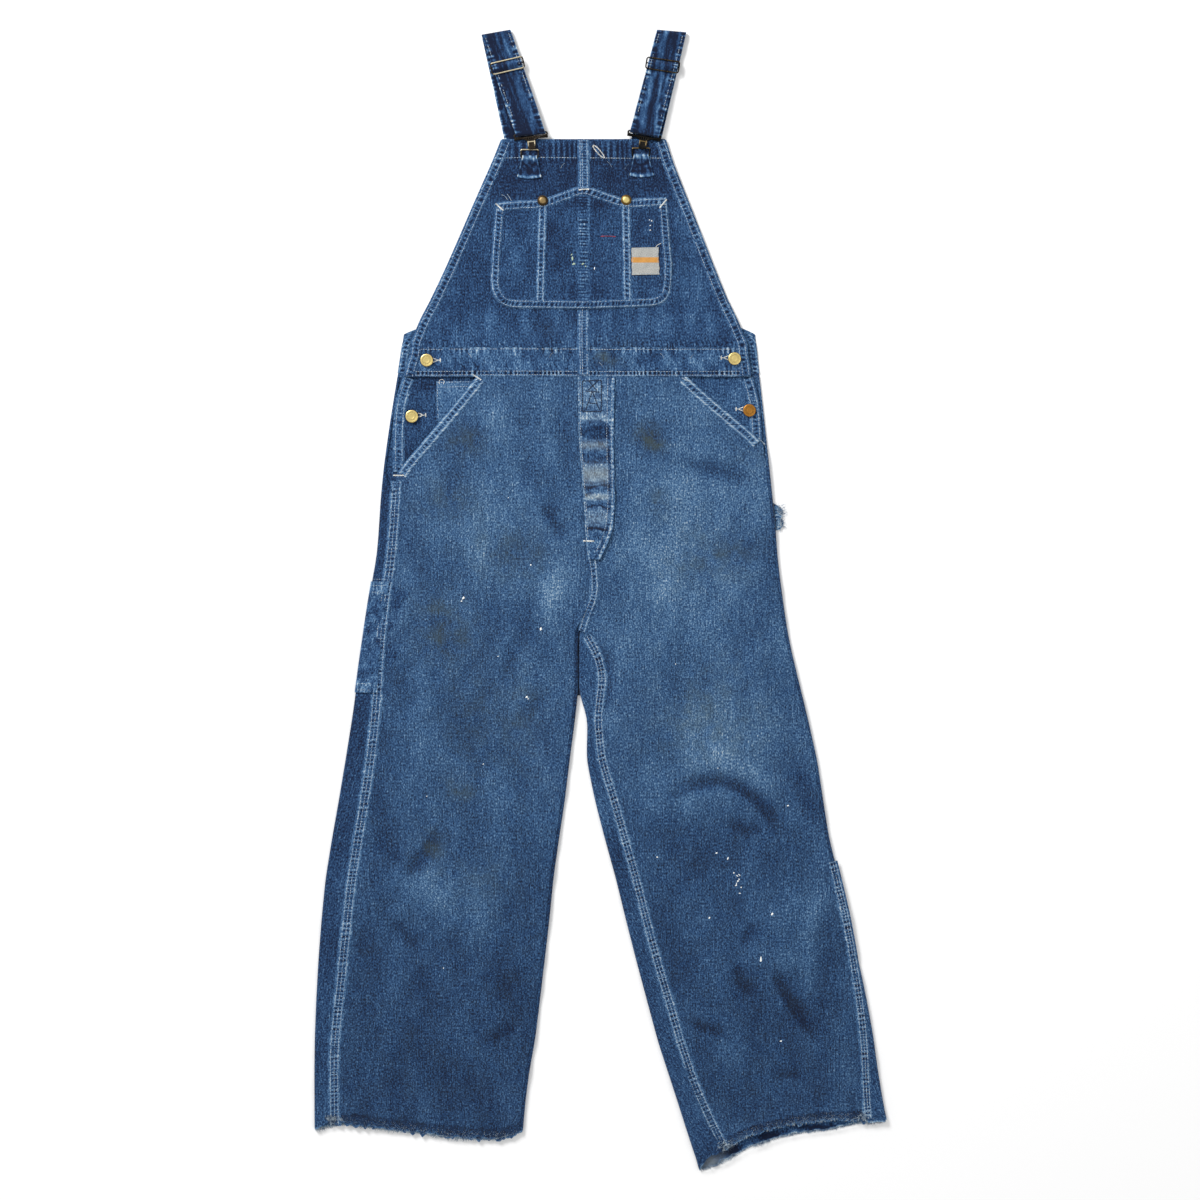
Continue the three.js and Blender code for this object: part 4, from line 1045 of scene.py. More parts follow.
def whipped(name, line, wide, ground, parent, seed, thread=None, raised=0.35):
    """Dense stitches side by side across a line, as on a bartack or a buttonhole, as one joined mesh."""
    path = evenly(line_mm(*line), WHIP_PITCH)
    left = leftward(path)
    rungs = []
    rng = np.random.default_rng(seed)
    for at, normal in zip(path, left):
        half = normal * wide * MM / 2 * rng.uniform(0.85, 1.1)
        rungs.append(np.array([at - half, at, at + half]))
    return stitches(name, rungs, ground, parent, seed, thread or white_thread, pitch=wide / 2 + 0.01,
                    length=wide / 2 + 0.01, width=WHIP_PITCH * 1.25, height=raised, missing=0)


whipped("fly_bartack", [(-22, 75.6), (-15, 75.4), (-8.6, 75.3)], 1.7, height_of(fly, *front_legs.values()),
        fly, 109)
welts = height_of(bpy.data.objects["left_pocket_mouth_hem"], bpy.data.objects["right_pocket_mouth_hem"],
                  bpy.data.objects["left_opening_hem"], *front_legs.values())
whipped("left_mouth_bartack_top", [(-163, 288), (-158, 285), (-153, 281.5)], 1.6, welts, front_legs["left"],
        110)
whipped("left_mouth_bartack_low", [(-265, 159.5), (-258, 159.3), (-252, 159.4)], 1.6, welts,
        front_legs["left"], 111)
whipped("right_mouth_bartack_top", [(104.5, 284), (110, 281), (116, 279)], 1.4, welts, front_legs["right"],
        112, thread=pale_thread)
whipped("right_mouth_bartack_low", [(202, 207), (206, 203), (210, 199)], 1.4, welts, front_legs["right"], 113,
        thread=pale_thread)

# ---- Back yoke ----
# The back of the same denim rises under the bib, where the straps are sewn to it.
# Only its corners show beside the waist, each with a narrow hem stitched down its edge.
def yoke_look(x, y):
    """Pale, puckered corners beside the waist."""
    left, right = spot(x, y, (-249, 334), (12, 12)), spot(x, y, (196, 336), (12, 12))
    ladder = ripple(y, 5, undulation(x, y, 16, 121))
    corner = fade_mm(-236, -243, x) + fade_mm(184, 190, x)
    return 0.2 * corner * ladder, 0.2 * (left + right) + 0.16 * corner * ladder


back_yoke = flat_piece("back_yoke_cloth", "back_yoke", 1.8, 122, worn=-0.16, extra=yoke_look, ease=0, wide=4)
for name, inset, edges, seed in (("left", 4.9, (0.2, 0.5), 124), ("right", -4.9, (0.5, 0.2), 127)):
    line = side_line("back_yoke", name, 290, 340, inset, 6)
    band(f"yoke_hem_{name}", line, 9, height_of(back_yoke), back_yoke, seed, edges=edges, rise=0.5,
         skirt=0.9, pale=0.1, dark=0.9, pitch=5, pucker=0.3)

# ---- Bib ----
# Two halves of dark denim meet in a felled seam down the middle.
# The sides and the top are turned in and hemmed with pale thread, and pucker along it.
MIDDLE_SEAM = -21.7  # x in mm


def bib_look(x, y):
    """Pleats in the top hem, a fold below it, and soft upright creases towards the waist."""
    phase = x * 2 * math.pi / (8 * MM) + 1.6 * swell(x, 40, 131)
    hem = hump(y, 574, 12, 4)
    at_row = hump(y, 565.7, 4)
    pleat = np.sin(phase) * (0.7 + 0.3 * swell(x, 25, 132))
    low = fade_mm(420, 330, y)
    folds = undulation(x, y, 26, 133, 4) * low
    lift = 0.5 * pleat * hem + 0.25 * np.sin(phase * 1.7) * at_row + 0.1 * folds
    lift = lift + 0.5 * fade_mm(563, 567, y)
    shade = 0.42 * np.tanh(1.8 * pleat) * hem + 0.36 * np.sin(phase * 1.7) * at_row - 0.3 * hem + 0.05 * folds
    shade = shade - 0.26 * fade_mm(500, 525, y) * fade_mm(565, 561, y)
    shade = shade + 0.26 * hump(y, 590, 1.4)
    slanted = ripple(x + 0.3 * y, 6.2, 2 * swell(x, 40, 139))
    shade = shade + 0.3 * slanted * hump(y, 328, 4)
    bright = 0.16 * spot(x, y, (60, 350), (90, 30)) + 0.12 * spot(x, y, (-150, 345), (70, 26))
    bright = bright + 0.16 * spot(x, y, (118, 420), (20, 60)) - 0.1 * spot(x, y, (-150, 430), (30, 70))
    return lift, shade + bright


bib_stains = [((30, 318), (30, 16), 0.25), ((-60, 345), (30, 14), 0.1)]
bib = {name: flat_piece(f"bib_cloth_{name}", f"bib_{name}", 2.2, seed, worn=-0.36, extra=bib_look,
                        stains=bib_stains)
       for name, seed in (("left", 134), ("right", 137))}
bib_top = height_of(*bib.values())

# ---- Waistband ----
# One straight strip of denim, folded double, laps over the foot of the bib and the tops of the trousers.
# It is stitched along both edges, and has shrunk into pale rungs between the rows.
def band_look(x, y):
    """Rungs along both edges, and slanted creases between them."""
    rungs = np.tanh(2.4 * ripple(x, 5.4, 1.4 * swell(x, 30, 141)))
    wide = ripple(x, 6.7, 1.8 * swell(x, 34, 142))
    strength = np.clip(0.7 + 0.4 * swell(x, 40, 143), 0.2, 1.3)
    low, high = hump(y, 290.2, 2.7, 4), hump(y, 319.5, 4.2)
    crumple = undulation(x, y, 16, 144, 2.2)
    slanted = ripple(x + 0.5 * y, 7.5, 2.2 * undulation(x, y, 45, 149))
    slanted = slanted * strength * hump(y, 300, 6)
    lift = strength * (0.4 * rungs * low + 0.2 * wide * high) + 0.14 * crumple - 0.2 * low + 0.12 * slanted
    edge = 0.5 * hump(y, 286.9, 0.9) + 0.3 * hump(y, 323.6, 0.9)
    shade = strength * (0.85 * rungs * low + 0.5 * wide * high) + 0.09 * crumple + edge
    shade = shade - 0.3 * low + 0.16 * slanted + 0.07 * undulation(x, y, 60, 145)
    return lift, shade


waistband = flat_piece("waistband_cloth", "waistband_front", 1.3, 146, worn=-0.13, relief=0.15,
                       extra=band_look, stains=[((2, 310), (14, 9), 0.8), ((-60, 315), (12, 8), 0.2),
                                                ((20, 303), (20, 9), 0.3)])
stitches("waistband_stitches", [line_mm((-241, y), (-100, y + 0.6), (20, y), (186, y + 0.4))
                                for y in (320.6, 292.2, 287.6)], height_of(waistband), waistband, 147)

# Hems down the sides of the bib, on across the waistband, and the middle seam above and below the bib pocket.
bib_and_band = height_of(*bib.values(), waistband)
left_hem = np.vstack([side_line("bib_left", "left", 328, 589, 0, 10),
                      line_mm((-241.5, 318), (-246, 303), (-250, 288))])
right_hem = np.vstack([side_line("bib_right", "right", 328, 589, 0, 10),
                       line_mm((187.3, 318), (189.5, 303), (191.7, 288))])
for name, line, way, edges, seed in (("left", left_hem, 1, (0.12, 0.3), 148),
                                     ("right", right_hem, -1, (0.3, 0.1), 151)):
    strip = band(f"bib_hem_{name}", beside(evenly(line, 6), way * 5.6), 10.6, bib_and_band,
                 bib[name], seed, lanes=(0.4 * way,), edges=edges, dark=0.95, skirt=1.6, pale=0.02,
                 pucker=0.4, pitch=6)
    fine = evenly(line, STITCH_LAY)
    stitches(f"bib_hem_stitches_{name}", [beside(fine, way * 1.8), beside(fine, way * 9.6)],
             height_of(strip), bib[name], seed + 2)
stitches("bib_top_stitches", [line_mm((-128, 565.8), (-80, 566.6), (-30, 566)),
                              line_mm((-14, 566), (40, 565.4), (82, 565.8))], bib_top, bib["left"], 154)
for name, ends, parent, seed in (("upper", (589, 528), bib["left"], 155),
                                 ("lower", (376, 288), bib["left"], 158)):
    y = np.linspace(*ends, 6)
    line = np.column_stack([MIDDLE_SEAM + 0.4 * np.sin(y / 20), y]) * MM
    sewn_seam(f"bib_middle_{name}", line, 11.6, bib_and_band, parent, seed, (-4.4, -1.6, 4.4), (1.4,),
              edges=(0.4, 0.25), pale=0.1, dark=0.6, pitch=4.2, pucker=0.28)

# ---- Bib pocket ----
# A double tool pocket on the bib: a hemmed mouth that peaks at the middle seam, round lower corners,
# pencil pockets made by two double-stitched strips, bartacks at the mouth and a rivet on each strip.
def pocket_look(x, y):
    """The ridge of the middle seam with its rungs, patches rubbed paler, and patches of painted shade."""
    on_seam = hump(x, MIDDLE_SEAM, 6.2, 4)
    rungs = ripple(y, 4.1, 1.2 * swell(y, 26, 161))
    lines = sum(hump(x, at, 1.2) for at in (-27.5, -16))
    shade = 0.3 * lines + on_seam * (0.05 + 0.6 * rungs)
    shade = shade - 0.35 * spot(x, y, (-22, 508), (22, 9)) - 0.3 * spot(x, y, (0, 506), (9, 7))
    shade = shade + 0.6 * fade_mm(440, 480, y) * hump(x, -14.5, 1.3)
    shade = shade + 0.1 * spot(x, y, (10, 440), (40, 60))
    shade = shade + 0.12 * spot(x, y, (-110, 430), (26, 50)) + 0.1 * spot(x, y, (64, 395), (30, 12))
    return on_seam * (0.45 + 0.25 * rungs), shade


bib_pocket = flat_piece("bib_pocket_cloth", "bib_pocket", 1.8, 162, columns=True, worn=-0.42,
                        extra=pocket_look)
pocket_shape = Outline("bib_pocket", ease=0, whole_ends=True)
pocket_top = height_of(bib_pocket, *bib.values())
down_left = [(pocket_shape.left(y * MM), y * MM) for y in np.linspace(505, 407, 9)]
along_foot = [(x * MM, pocket_shape.bottom(x * MM)) for x in np.linspace(-137, 87, 26)]
up_right = [(pocket_shape.right(y * MM), y * MM) for y in np.linspace(404, 511, 9)]
pocket_edge = evenly(np.array(down_left + along_foot + up_right), 3)
mouth_edge = line_mm((-133.5, 508.3), (-105, 510.6), (-76, 512.6), (-50, 521), (-27, 529), (-14, 528),
                     (8, 520.6), (32.5, 513.2), (58, 514), (84, 515))
pocket_border = band("bib_pocket_border", beside(pocket_edge, 4.9), 9.2, pocket_top, bib_pocket, 164,
                     lanes=(0.2,), edges=(0.1, 0.5), dark=0.9, pale=0.05, skirt=1.4, pitch=5.2, pucker=0.36)
pocket_mouth = band("bib_pocket_mouth", beside(evenly(mouth_edge, 4), -5.2), 9.6, pocket_top,
                    bib_pocket, 167, lanes=(-0.2,), edges=(0.4, 0.12), dark=0.9, pale=0.05, skirt=1.4,
                    pitch=5.6)
strip_pieces = []
for name, ends, seed in (("left", ((-74.2, 506), (-77.3, 383)), 170),
                         ("right", ((32.6, 506), (34.3, 383)), 173)):
    line = np.array([mix(np.array(ends[0]), np.array(ends[1]), s) for s in np.linspace(0, 1, 6)]) * MM
    strip = band(f"pencil_strip_{name}", line, 9.2, pocket_top, bib_pocket, seed, lanes=(-0.3,),
                 edges=(0.42, 0.42), dark=0.85, pale=0.16, skirt=1.2, pitch=5.6, pucker=0.3, rise=0.6)
    strip_pieces.append(strip)
    stitches(f"pencil_strip_stitches_{name}", [beside(line, 3), beside(line, -3)], height_of(strip),
             bib_pocket, seed + 1)
fine_edge, fine_mouth = evenly(pocket_edge[::3], STITCH_LAY), evenly(mouth_edge, STITCH_LAY)
stitches("bib_pocket_stitches", [beside(fine_edge, 1.6), beside(fine_edge, 8.6)],
         height_of(pocket_border), bib_pocket, 176)
stitches("bib_pocket_mouth_stitches", [beside(fine_mouth, -1.8), beside(fine_mouth, -9.0)],
         height_of(pocket_mouth), bib_pocket, 177)
pocket_all = height_of(pocket_border, pocket_mouth, bib_pocket, *strip_pieces)
for name, ends in (("left", [(-134, 507), (-129, 502.5), (-124.5, 498.5)]),
                   ("right", [(84.4, 512.6), (80, 507), (75.6, 501.8)]),
                   ("middle", [(-27.8, 524.6), (-21.5, 525.4), (-15.2, 525.4)])):
    whipped(f"bib_pocket_bartack_{name}", ends, 1.7, pocket_all, bib_pocket, 178 + len(name))
whipped("stray_red_stitch", [(0.4, 465.2), (9.5, 465.6), (18.8, 464.9)], 1.1, pocket_all, bib_pocket, 186,
        thread=thread_finish("red_thread", tint(176, 60, 66), tint(150, 80, 96)))

# ---- Label ----
# A small square patch woven in pale grey yarn, with a plain ochre stripe across it and no lettering.
# It is sewn on the bib pocket with a row of fine thread along each edge.
LABEL_HALF = 17.4 * MM  # half a side
STRIPE_HALF = 3.4 * MM
STRIPE_RISE = 1.5 * MM  # how far the stripe lies above the middle
label_low, label_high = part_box("label_patch")
label_middle = (label_low + label_high) / 2
woven_label, n = bare_material("woven_label")
cloth = n.cloth_map()
picks = n.bands("Y", cloth, 520.0, 0.6)
ends = n.bands("X", cloth, 420.0, 0.6)
place = n.add("ShaderNodeSeparateXYZ", Vector=cloth).outputs
stripe = n.math("LESS_THAN", n.math("ABSOLUTE", n.math("SUBTRACT", place["Y"], STRIPE_RISE)), STRIPE_HALF)
grey = n.ramp(n.noise(cloth, 900.0, 3.0, 0.7), ((0.3, tint(118, 120, 118)), (0.7, tint(196, 195, 189))))
ochre = n.ramp(n.noise(cloth, 1200.0, 2.0, 0.6), ((0.3, tint(184, 124, 44)), (0.7, tint(212, 152, 66))))
cover = n.blend(stripe, grey, ochre)
dusty = n.blend(n.math("MULTIPLY", picks, 0.25), cover, tint(120, 124, 128))
relief = n.math("ADD", n.math("MULTIPLY", picks, ends), n.math("MULTIPLY", stripe, 0.8))
n.surface(Base_Color=dusty, Roughness=0.85, Normal=n.bump(0.6, 0.3, relief), Specular_IOR_Level=0.25,
          Sheen_Weight=0.1)
steps = np.linspace(-1, 1, 36)
across, down = np.meshgrid(steps, -steps)
turn = math.radians(1.2)
x = label_middle.x + LABEL_HALF * (across * math.cos(turn) - down * math.sin(turn))
y = label_middle.y + LABEL_HALF * (across * math.sin(turn) + down * math.cos(turn))
curl = np.maximum(0, np.abs(across) - 0.9) + np.maximum(0, np.abs(down) - 0.9)
z = np.maximum(pocket_all(x, y) + 0.5 * MM, label_low.z + 0.3 * MM)
z = blurred(z, 2) + 0.5 * MM + 0.18 * MM * undulation(x, y, 16, 191) - 2.5 * MM * curl ** 1.5
label_grid = np.stack([x + 0.25 * MM * undulation(y, x, 7, 192) * (np.abs(across) > 0.95), y, z], axis=-1)
label = shell("label_cloth", label_grid, -1, {"worn": 0.0}, woven_label, thickness=0.7 * MM, reverse=0.0,
              shift=(-label_middle.x, -label_middle.y))
as_cloth(label, "label_patch")
h = LABEL_HALF / MM * 0.93
square = [(-h, -h), (h, -h), (h, h), (-h, h), (-h, -h)]
label_rows = [row_between(*ends) + np.array([label_middle.x, label_middle.y])
              for ends in zip(square, square[1:])]
stitches("label_stitches", label_rows, height_of(label), label, 193, pitch=2.2, length=1.7, width=0.45,
         height=0.22)

# ---- Straps ----
# Two plies of darker denim sewn into a strap. It rises from the back yoke, folds over at the top, comes down
# the front through a slider and turns up round the bar of the buckle. Its edges pucker along the stitching.
STRAP_HALF = 18.7 * MM  # half its width
STRAP_PLIES = 1.3 * MM  # its whole thickness
STRAP_STEP = 1.7 * MM  # distance between its points
FOLD_RADIUS = 2.3 * MM  # its bend at the top fold and round the buckle's bar
SLIDER_RUN = 46 * MM  # from the top fold to the middle of the slider
strap_denim = denim_finish("strap_denim", depth=-0.7, fleck=1.7, slub=0.8)
# Middle of the top fold, root at the yoke and buckle's bar, in mm.
# Then the turns of the fold, the slider and the bar, in degrees.
# Paler lanes: place across the strap, half width, strength, and the run over which each comes in.
STRAPS = {"left": {"top": (-134.0, 727.0), "root": (-72.6, 446.2), "bar": (-88.6, 593.9),
                   "turns": (10, 13, 6), "lanes": ((6.5, 3.6, 0.5, 0, 1), (12.5, 1.6, 0.16, 0, 1),
                                                   (-17.4, 1.0, 0.9, 50, 60), (-9, 6, -0.25, 0, 1))},
          "right": {"top": (91.2, 728.5), "root": (24.7, 446.2), "bar": (55.7, 594.1),
                    "turns": (-5, -8.5, -10), "lanes": ((-7.5, 3.4, 0.6, 0, 1), (10.5, 2.6, 0.75, 48, 62),
                                                        (5, 1.2, 0.4, 54, 66), (-15, 2.2, 0.2, 48, 60),
                                                        (-9.5, 1.6, 0.2, 90, 100))},}


def bent(corners, step):
    """A broken line as points at even steps with its corners eased."""
    corners = np.array(corners)
    run = np.concatenate([[0], np.cumsum(np.linalg.norm(np.diff(corners, axis=0), axis=1))])
    at = np.linspace(0, run[-1], int(run[-1] / step) + 1)
    return np.stack([softened(np.interp(at, run, corners[:, k]), 1) for k in (0, 1)], axis=1)


def half_turn(along, z, radius, start, stop):
    """Points round a bar, as distance from the fold and height."""
    return [(along + radius * math.cos(math.radians(a)), z + radius * math.sin(math.radians(a)))
            for a in np.linspace(start, stop, 7)]


def strap(name, seed):
    """A strap with its stitches: one run of cloth from the yoke, over the fold and round the buckle's bar."""
    top, root, bar = (np.array(STRAPS[name][key]) * MM for key in ("top", "root", "bar"))
    back, front = root - top, bar - top
    back_length, front_length = np.linalg.norm(back), np.linalg.norm(front)
    end = front_length - FOLD_RADIUS - 0.7 * MM
    over_the_slider = [(29, 5.3), (37.8, 5.2), (39.8, 5.2), (44.8, 9.0), (47.2, 9.0), (52.2, 5.2),
                       (54.2, 5.2), (72, 6.2)]
    path = [(back_length, 0.7 * MM)]
    path += half_turn(FOLD_RADIUS, 3.0 * MM, FOLD_RADIUS, -90, -270)
    folded = len(bent(path[:5], STRAP_STEP))
    path += [(a * MM, z * MM) for a, z in over_the_slider] + [(end - 22 * MM, 7.7 * MM)]
    path += half_turn(end, 6.4 * MM, FOLD_RADIUS, 90, -90)
    path += [(end - 18 * MM, 3.1 * MM), (end - 40 * MM, 3.0 * MM), (62 * MM, 2.9 * MM)]
    path = bent(path, STRAP_STEP)
    on_front = (np.arange(len(path)) >= folded).astype(float)
    along, z = path.T
    ways = np.where(on_front[:, None] > 0, front / front_length, back / back_length)
    square = np.arctan2(ways[:, 0], -ways[:, 1])
    first, at_slider, last = (math.radians(a) for a in STRAPS[name]["turns"])
    turn = mix(first, square, fade_mm(0, 25, along))
    turn = mix(turn, at_slider, on_front * fade_mm(28, 14, np.abs(along - SLIDER_RUN)))
    turn = mix(turn, last, on_front * fade(front_length - 50 * MM, front_length - 8 * MM, along))
    u = np.linspace(-STRAP_HALF, STRAP_HALF, 25)[None, :]
    run = (np.arange(len(path)) * STRAP_STEP)[:, None]
    wave = ripple(run, 5.8, 1.4 * undulation(run, run, 30, seed) + np.sign(u))
    strength = np.clip(0.75 + 0.45 * undulation(run, run, 21, seed + 1), 0.1, 1.4)
    at_edge = fade_mm(10.5, 14.5, np.abs(u))
    beside_edge = u * (1 + 0.012 * wave * strength)
    x = top[0] + (ways[:, 0] * along)[:, None] + beside_edge * np.cos(turn)[:, None]
    y = top[1] + (ways[:, 1] * along)[:, None] + beside_edge * np.sin(turn)[:, None]
    flat = fade_mm(2.6, 6, np.abs(along))[:, None]
    puffed = 0.3 * MM * wave * strength * at_edge + 0.2 * MM * undulation(run, u, 17, seed + 2)
    puffed = puffed + 0.35 * MM * hump(u, 0, 8) * undulation(run, run, 60, seed + 6)
    grid = np.stack([x, y, z[:, None] + 0 * u], axis=-1)
    grid = grid + outward(grid, 1) * (puffed * flat)[..., None]
    grid[..., 2] = np.maximum(grid[..., 2], STRAP_PLIES * 0.55)
    worn = -0.04 + 0.95 * strength * at_edge * np.clip(wave, -0.7, 0.9) + 0.05 * at_edge
    worn = worn + 0.05 * undulation(run, u, 9, seed + 3)
    worn = worn + 0.22 * undulation(u, run, 7, seed + 4, 9)
    for middle, half, pale, start, full in STRAPS[name]["lanes"]:
        wander = middle * MM + 0.8 * MM * undulation(run, run, 40, seed + 5)
        lane = hump(u - wander, 0, half)
        worn = worn + pale * lane * fade_mm(start, full, along)[:, None] * (0.75 + 0.35 * strength)
    rim = hump(np.abs(u) - STRAP_HALF, 0, 0.9)
    worn = worn + rim * (0.45 + 0.3 * strength)
    # The ply that runs back under the front one, and the turn round the buckle's bar, are painted darker as
    # shade.
    under = (np.arange(len(path)) > len(path) - (front_length - 58 * MM) / STRAP_STEP)[:, None]
    worn = worn - 0.25 * under - 0.3 * hump(along[:, None] - end, 0, 5) * on_front[:, None]
    grid_out = grid + outward(grid, 1) * STRAP_PLIES / 2
    piece = shell(f"strap_cloth_{name}", grid_out, 1, {"worn": worn, "stain": 0.0}, strap_denim,
                  thickness=STRAP_PLIES, reverse=0.0)
    as_cloth(piece, f"strap_{name}")
    rows = []
    before_end = np.arange(len(path)) < len(path) - (front_length - 40 * MM) / STRAP_STEP
    shown = on_front * (along > 4 * MM) * before_end
    for offset in (-15.2 * MM, 15.2 * MM):
        line = np.column_stack([top[0] + ways[:, 0] * along + offset * np.cos(turn),
                                top[1] + ways[:, 1] * along + offset * np.sin(turn)])
        rows.append(line[shown > 0][:-3:8])
    stitches(f"strap_stitches_{name}", rows, height_of(piece), piece, seed + 7, missing=0.3)


strap("left", 201)
strap("right", 211)

# ---- Sliders, buckles and rings ----
# Drawn brass wire, bent and closed, gone dark with age, with highlights painted on the tops of its bars.
# The slider sets the strap's length. The buckle hangs in the strap's loop and hooks into a ring on the bib.
WIRE_RADIUS = 0.88 * MM


def metal_finish(name, bright, patina, dull, roughness=0.36):
    """Brass with a patina, dark where its point value is 0 and bright where it is 1; pieces set the value
    from wear, patina in hollows and painted highlight and shade.
    """
    material, n = bare_material(name)
    patch = n.noise(n.place(), 700.0, 3.0, 0.65)
    share = n.math("ADD", n.value("worn"), n.math("MULTIPLY", n.math("SUBTRACT", patch, 0.5), dull))
    colour = n.ramp(share, ((0.2, patina), (0.75, bright)))
    rough = n.math("SUBTRACT", roughness + 0.2, n.math("MULTIPLY", share, 0.2))
    n.surface(Base_Color=colour, Roughness=rough, Metallic=0.9, Normal=n.bump(0.25, 0.15, patch))
    return material


antique_brass = metal_finish("antique_brass", tint(206, 194, 164), tint(42, 36, 30), 1.0)
dark_brass = metal_finish("dark_antique_brass", tint(122, 104, 70), tint(20, 19, 18), 1.0)


def wire(loop, radius=WIRE_RADIUS, closed=True, sides=10):
    """Points and faces of a round wire along a line of points."""
    loop = np.array(loop, float)
    count = len(loop)
    if closed:
        along = np.roll(loop, -1, axis=0) - np.roll(loop, 1, axis=0)
    else:
        along = np.gradient(loop, axis=0)
    along /= np.linalg.norm(along, axis=1, keepdims=True)
    up = np.array([0.0, 0.0, 1.0])
    left = np.cross(up, along)
    left /= np.maximum(np.linalg.norm(left, axis=1, keepdims=True), 1e-9)
    over = np.cross(along, left)
    angle = np.arange(sides) * 2 * math.pi / sides
    points = (loop[:, None] + radius * (np.cos(angle)[None, :, None] * left[:, None]
                                        + np.sin(angle)[None, :, None] * over[:, None])).reshape(-1, 3)
    ring = np.arange(count if closed else count - 1)[:, None] * sides
    after = (ring + sides) % (count * sides)
    turn, spun = np.arange(sides)[None, :], (np.arange(sides)[None, :] + 1) % sides
    return points, np.stack([ring + turn, ring + spun, after + spun, after + turn], axis=-1).reshape(-1, 4)


def rounded(corners, radius, steps=5):
    """A closed outline with its corners turned round."""
    corners = np.array(corners, float)
    points = []
    for before, corner, after in zip(np.roll(corners, 1, axis=0), corners, np.roll(corners, -1, axis=0)):
        for t in np.linspace(0, 1, steps):
            a = corner + (before - corner) * min(0.45, radius / np.linalg.norm(before - corner))
            b = corner + (after - corner) * min(0.45, radius / np.linalg.norm(after - corner))
            points.append((1 - t) ** 2 * a + 2 * t * (1 - t) * corner + t * t * b)
    return np.array(points)


def joined_metal(name, parts, material, place, turn, node, wear_and_shading_of):
    """Metal parts given in mm about their own middle, turned, placed and joined into one piece."""
    points, faces, start = [], [], 0
    for part_points, part_faces in parts:
        points.append(part_points)
        faces.append(part_faces + start)
        start += len(part_points)
    points, faces = np.concatenate(points), np.concatenate(faces)
    worn = wear_and_shading_of(points)
    c, s = math.cos(turn), math.sin(turn)
    flat = points[:, :2] @ np.array([[c, s], [-s, c]])
    points = np.column_stack([flat[:, 0] + place[0], flat[:, 1] + place[1], points[:, 2] + place[2]])
    piece = mesh_of(name, points, faces, {"worn": worn}, points[:, :2], material, 60)
    stand_for(piece, node)


def in_mm(points):
    """Points given in mm; those with no height lie at 0."""
    return [(*(value * MM for value in point), 0)[:3] for point in points]


def hardware(name, metal, slider_highlight, seed):
    """The slider, buckle and ring of one strap; the third argument sets how bright the highlight painted on
    the slider's long bars is.
    """
    top, bar = (np.array(STRAPS[name][key]) * MM for key in ("top", "bar"))
    way = (bar - top) / np.linalg.norm(bar - top)
    _, slider_turn, buckle_turn = (math.radians(a) for a in STRAPS[name]["turns"])
    at = top + way * SLIDER_RUN
    rim = in_mm([(-21.1, -7.2), (21.1, -7.2), (21.1, 7.2), (-21.1, 7.2)])
    middle_bar = in_mm([(-21.1, 0), (-7, 0), (7, 0), (21.1, 0)])
    # The upper half of the slider's two long bars is painted bright as a highlight; its ends and middle bar
    # stay dark.
    joined_metal(f"slider_wire_{name}", [wire(rounded(rim, 3.2 * MM)), wire(middle_bar, closed=False)], metal,
                 (*at, 7.2 * MM), slider_turn, f"slider_{name}",
                 lambda p: (slider_highlight * fade_mm(0, 0.6, p[:, 2]) * fade_mm(21, 18, np.abs(p[:, 0]))
                            * fade_mm(3, 6, np.abs(p[:, 1])) + 0.1 * np.sin(p[:, 0] * 900 + seed)))
    at = top + way * (np.linalg.norm(bar - top) - FOLD_RADIUS - 0.7 * MM)
    loop = in_mm([(-21.0, 0), (21.0, 0), (21.0, -3.6), (10.4, -5.4), (4.1, -8.4), (4.1, -19.6), (-4.1, -19.6),
                  (-4.1, -8.4), (-10.4, -5.4), (-21.0, -3.6)])
    parts = [wire(rounded(loop, 2 * MM, 4), 1.1 * MM)]
    for y, half in ((-10.6, 4.2), (-19.4, 4.0)):  # the collars across its neck and foot
        parts.append(wire(in_mm([(side * half, y, 0.3) for side in (-1, 0, 1)]), 0.9 * MM, closed=False))
    for x in (-6.2, -3.2, 0, 3.2, 6.2):  # the ribs of its plate, which draw together below
        rib = in_mm([(x * share, y, -0.2) for share, y in ((1, -5.4), (0.5, -12.6), (0.4, -18.6))])
        parts.append(wire(rib, 1.1 * MM, closed=False))
    foot = in_mm([(x, -4.7 - 0.03 * abs(x), -1.4) for x in np.linspace(-21.6, 21.6, 9)])
    parts.append(wire(foot, 1.75 * MM, closed=False))
    # A highlight is painted along the top of the collar across the buckle's neck.
    joined_metal(f"buckle_{name}", parts, metal, (*at, 6.4 * MM), buckle_turn, f"bib_buckle_{name}",
                 lambda p: 0.1 + 0.85 * (np.abs(p[:, 1] + 10.6 * MM) < 1 * MM) * fade_mm(0, 0.7, p[:, 2]))
    low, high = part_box(f"tab_ring_{name}")
    ring = rounded(in_mm([(-11.1, -4.9), (11.1, -4.9), (11.1, 4.9), (-11.1, 4.9)]), 1.8 * MM)
    # A highlight is painted along the top of the ring's upper bar.
    joined_metal(f"ring_{name}", [wire(ring)], metal, (low + high) / 2, 0.0, f"tab_ring_{name}",
                 lambda p: 0.15 + 0.7 * fade_mm(3, 4.6, p[:, 1]) * fade_mm(0, 0.7, p[:, 2]))


hardware("left", antique_brass, 0.95, 221)
hardware("right", dark_brass, 0.4, 222)

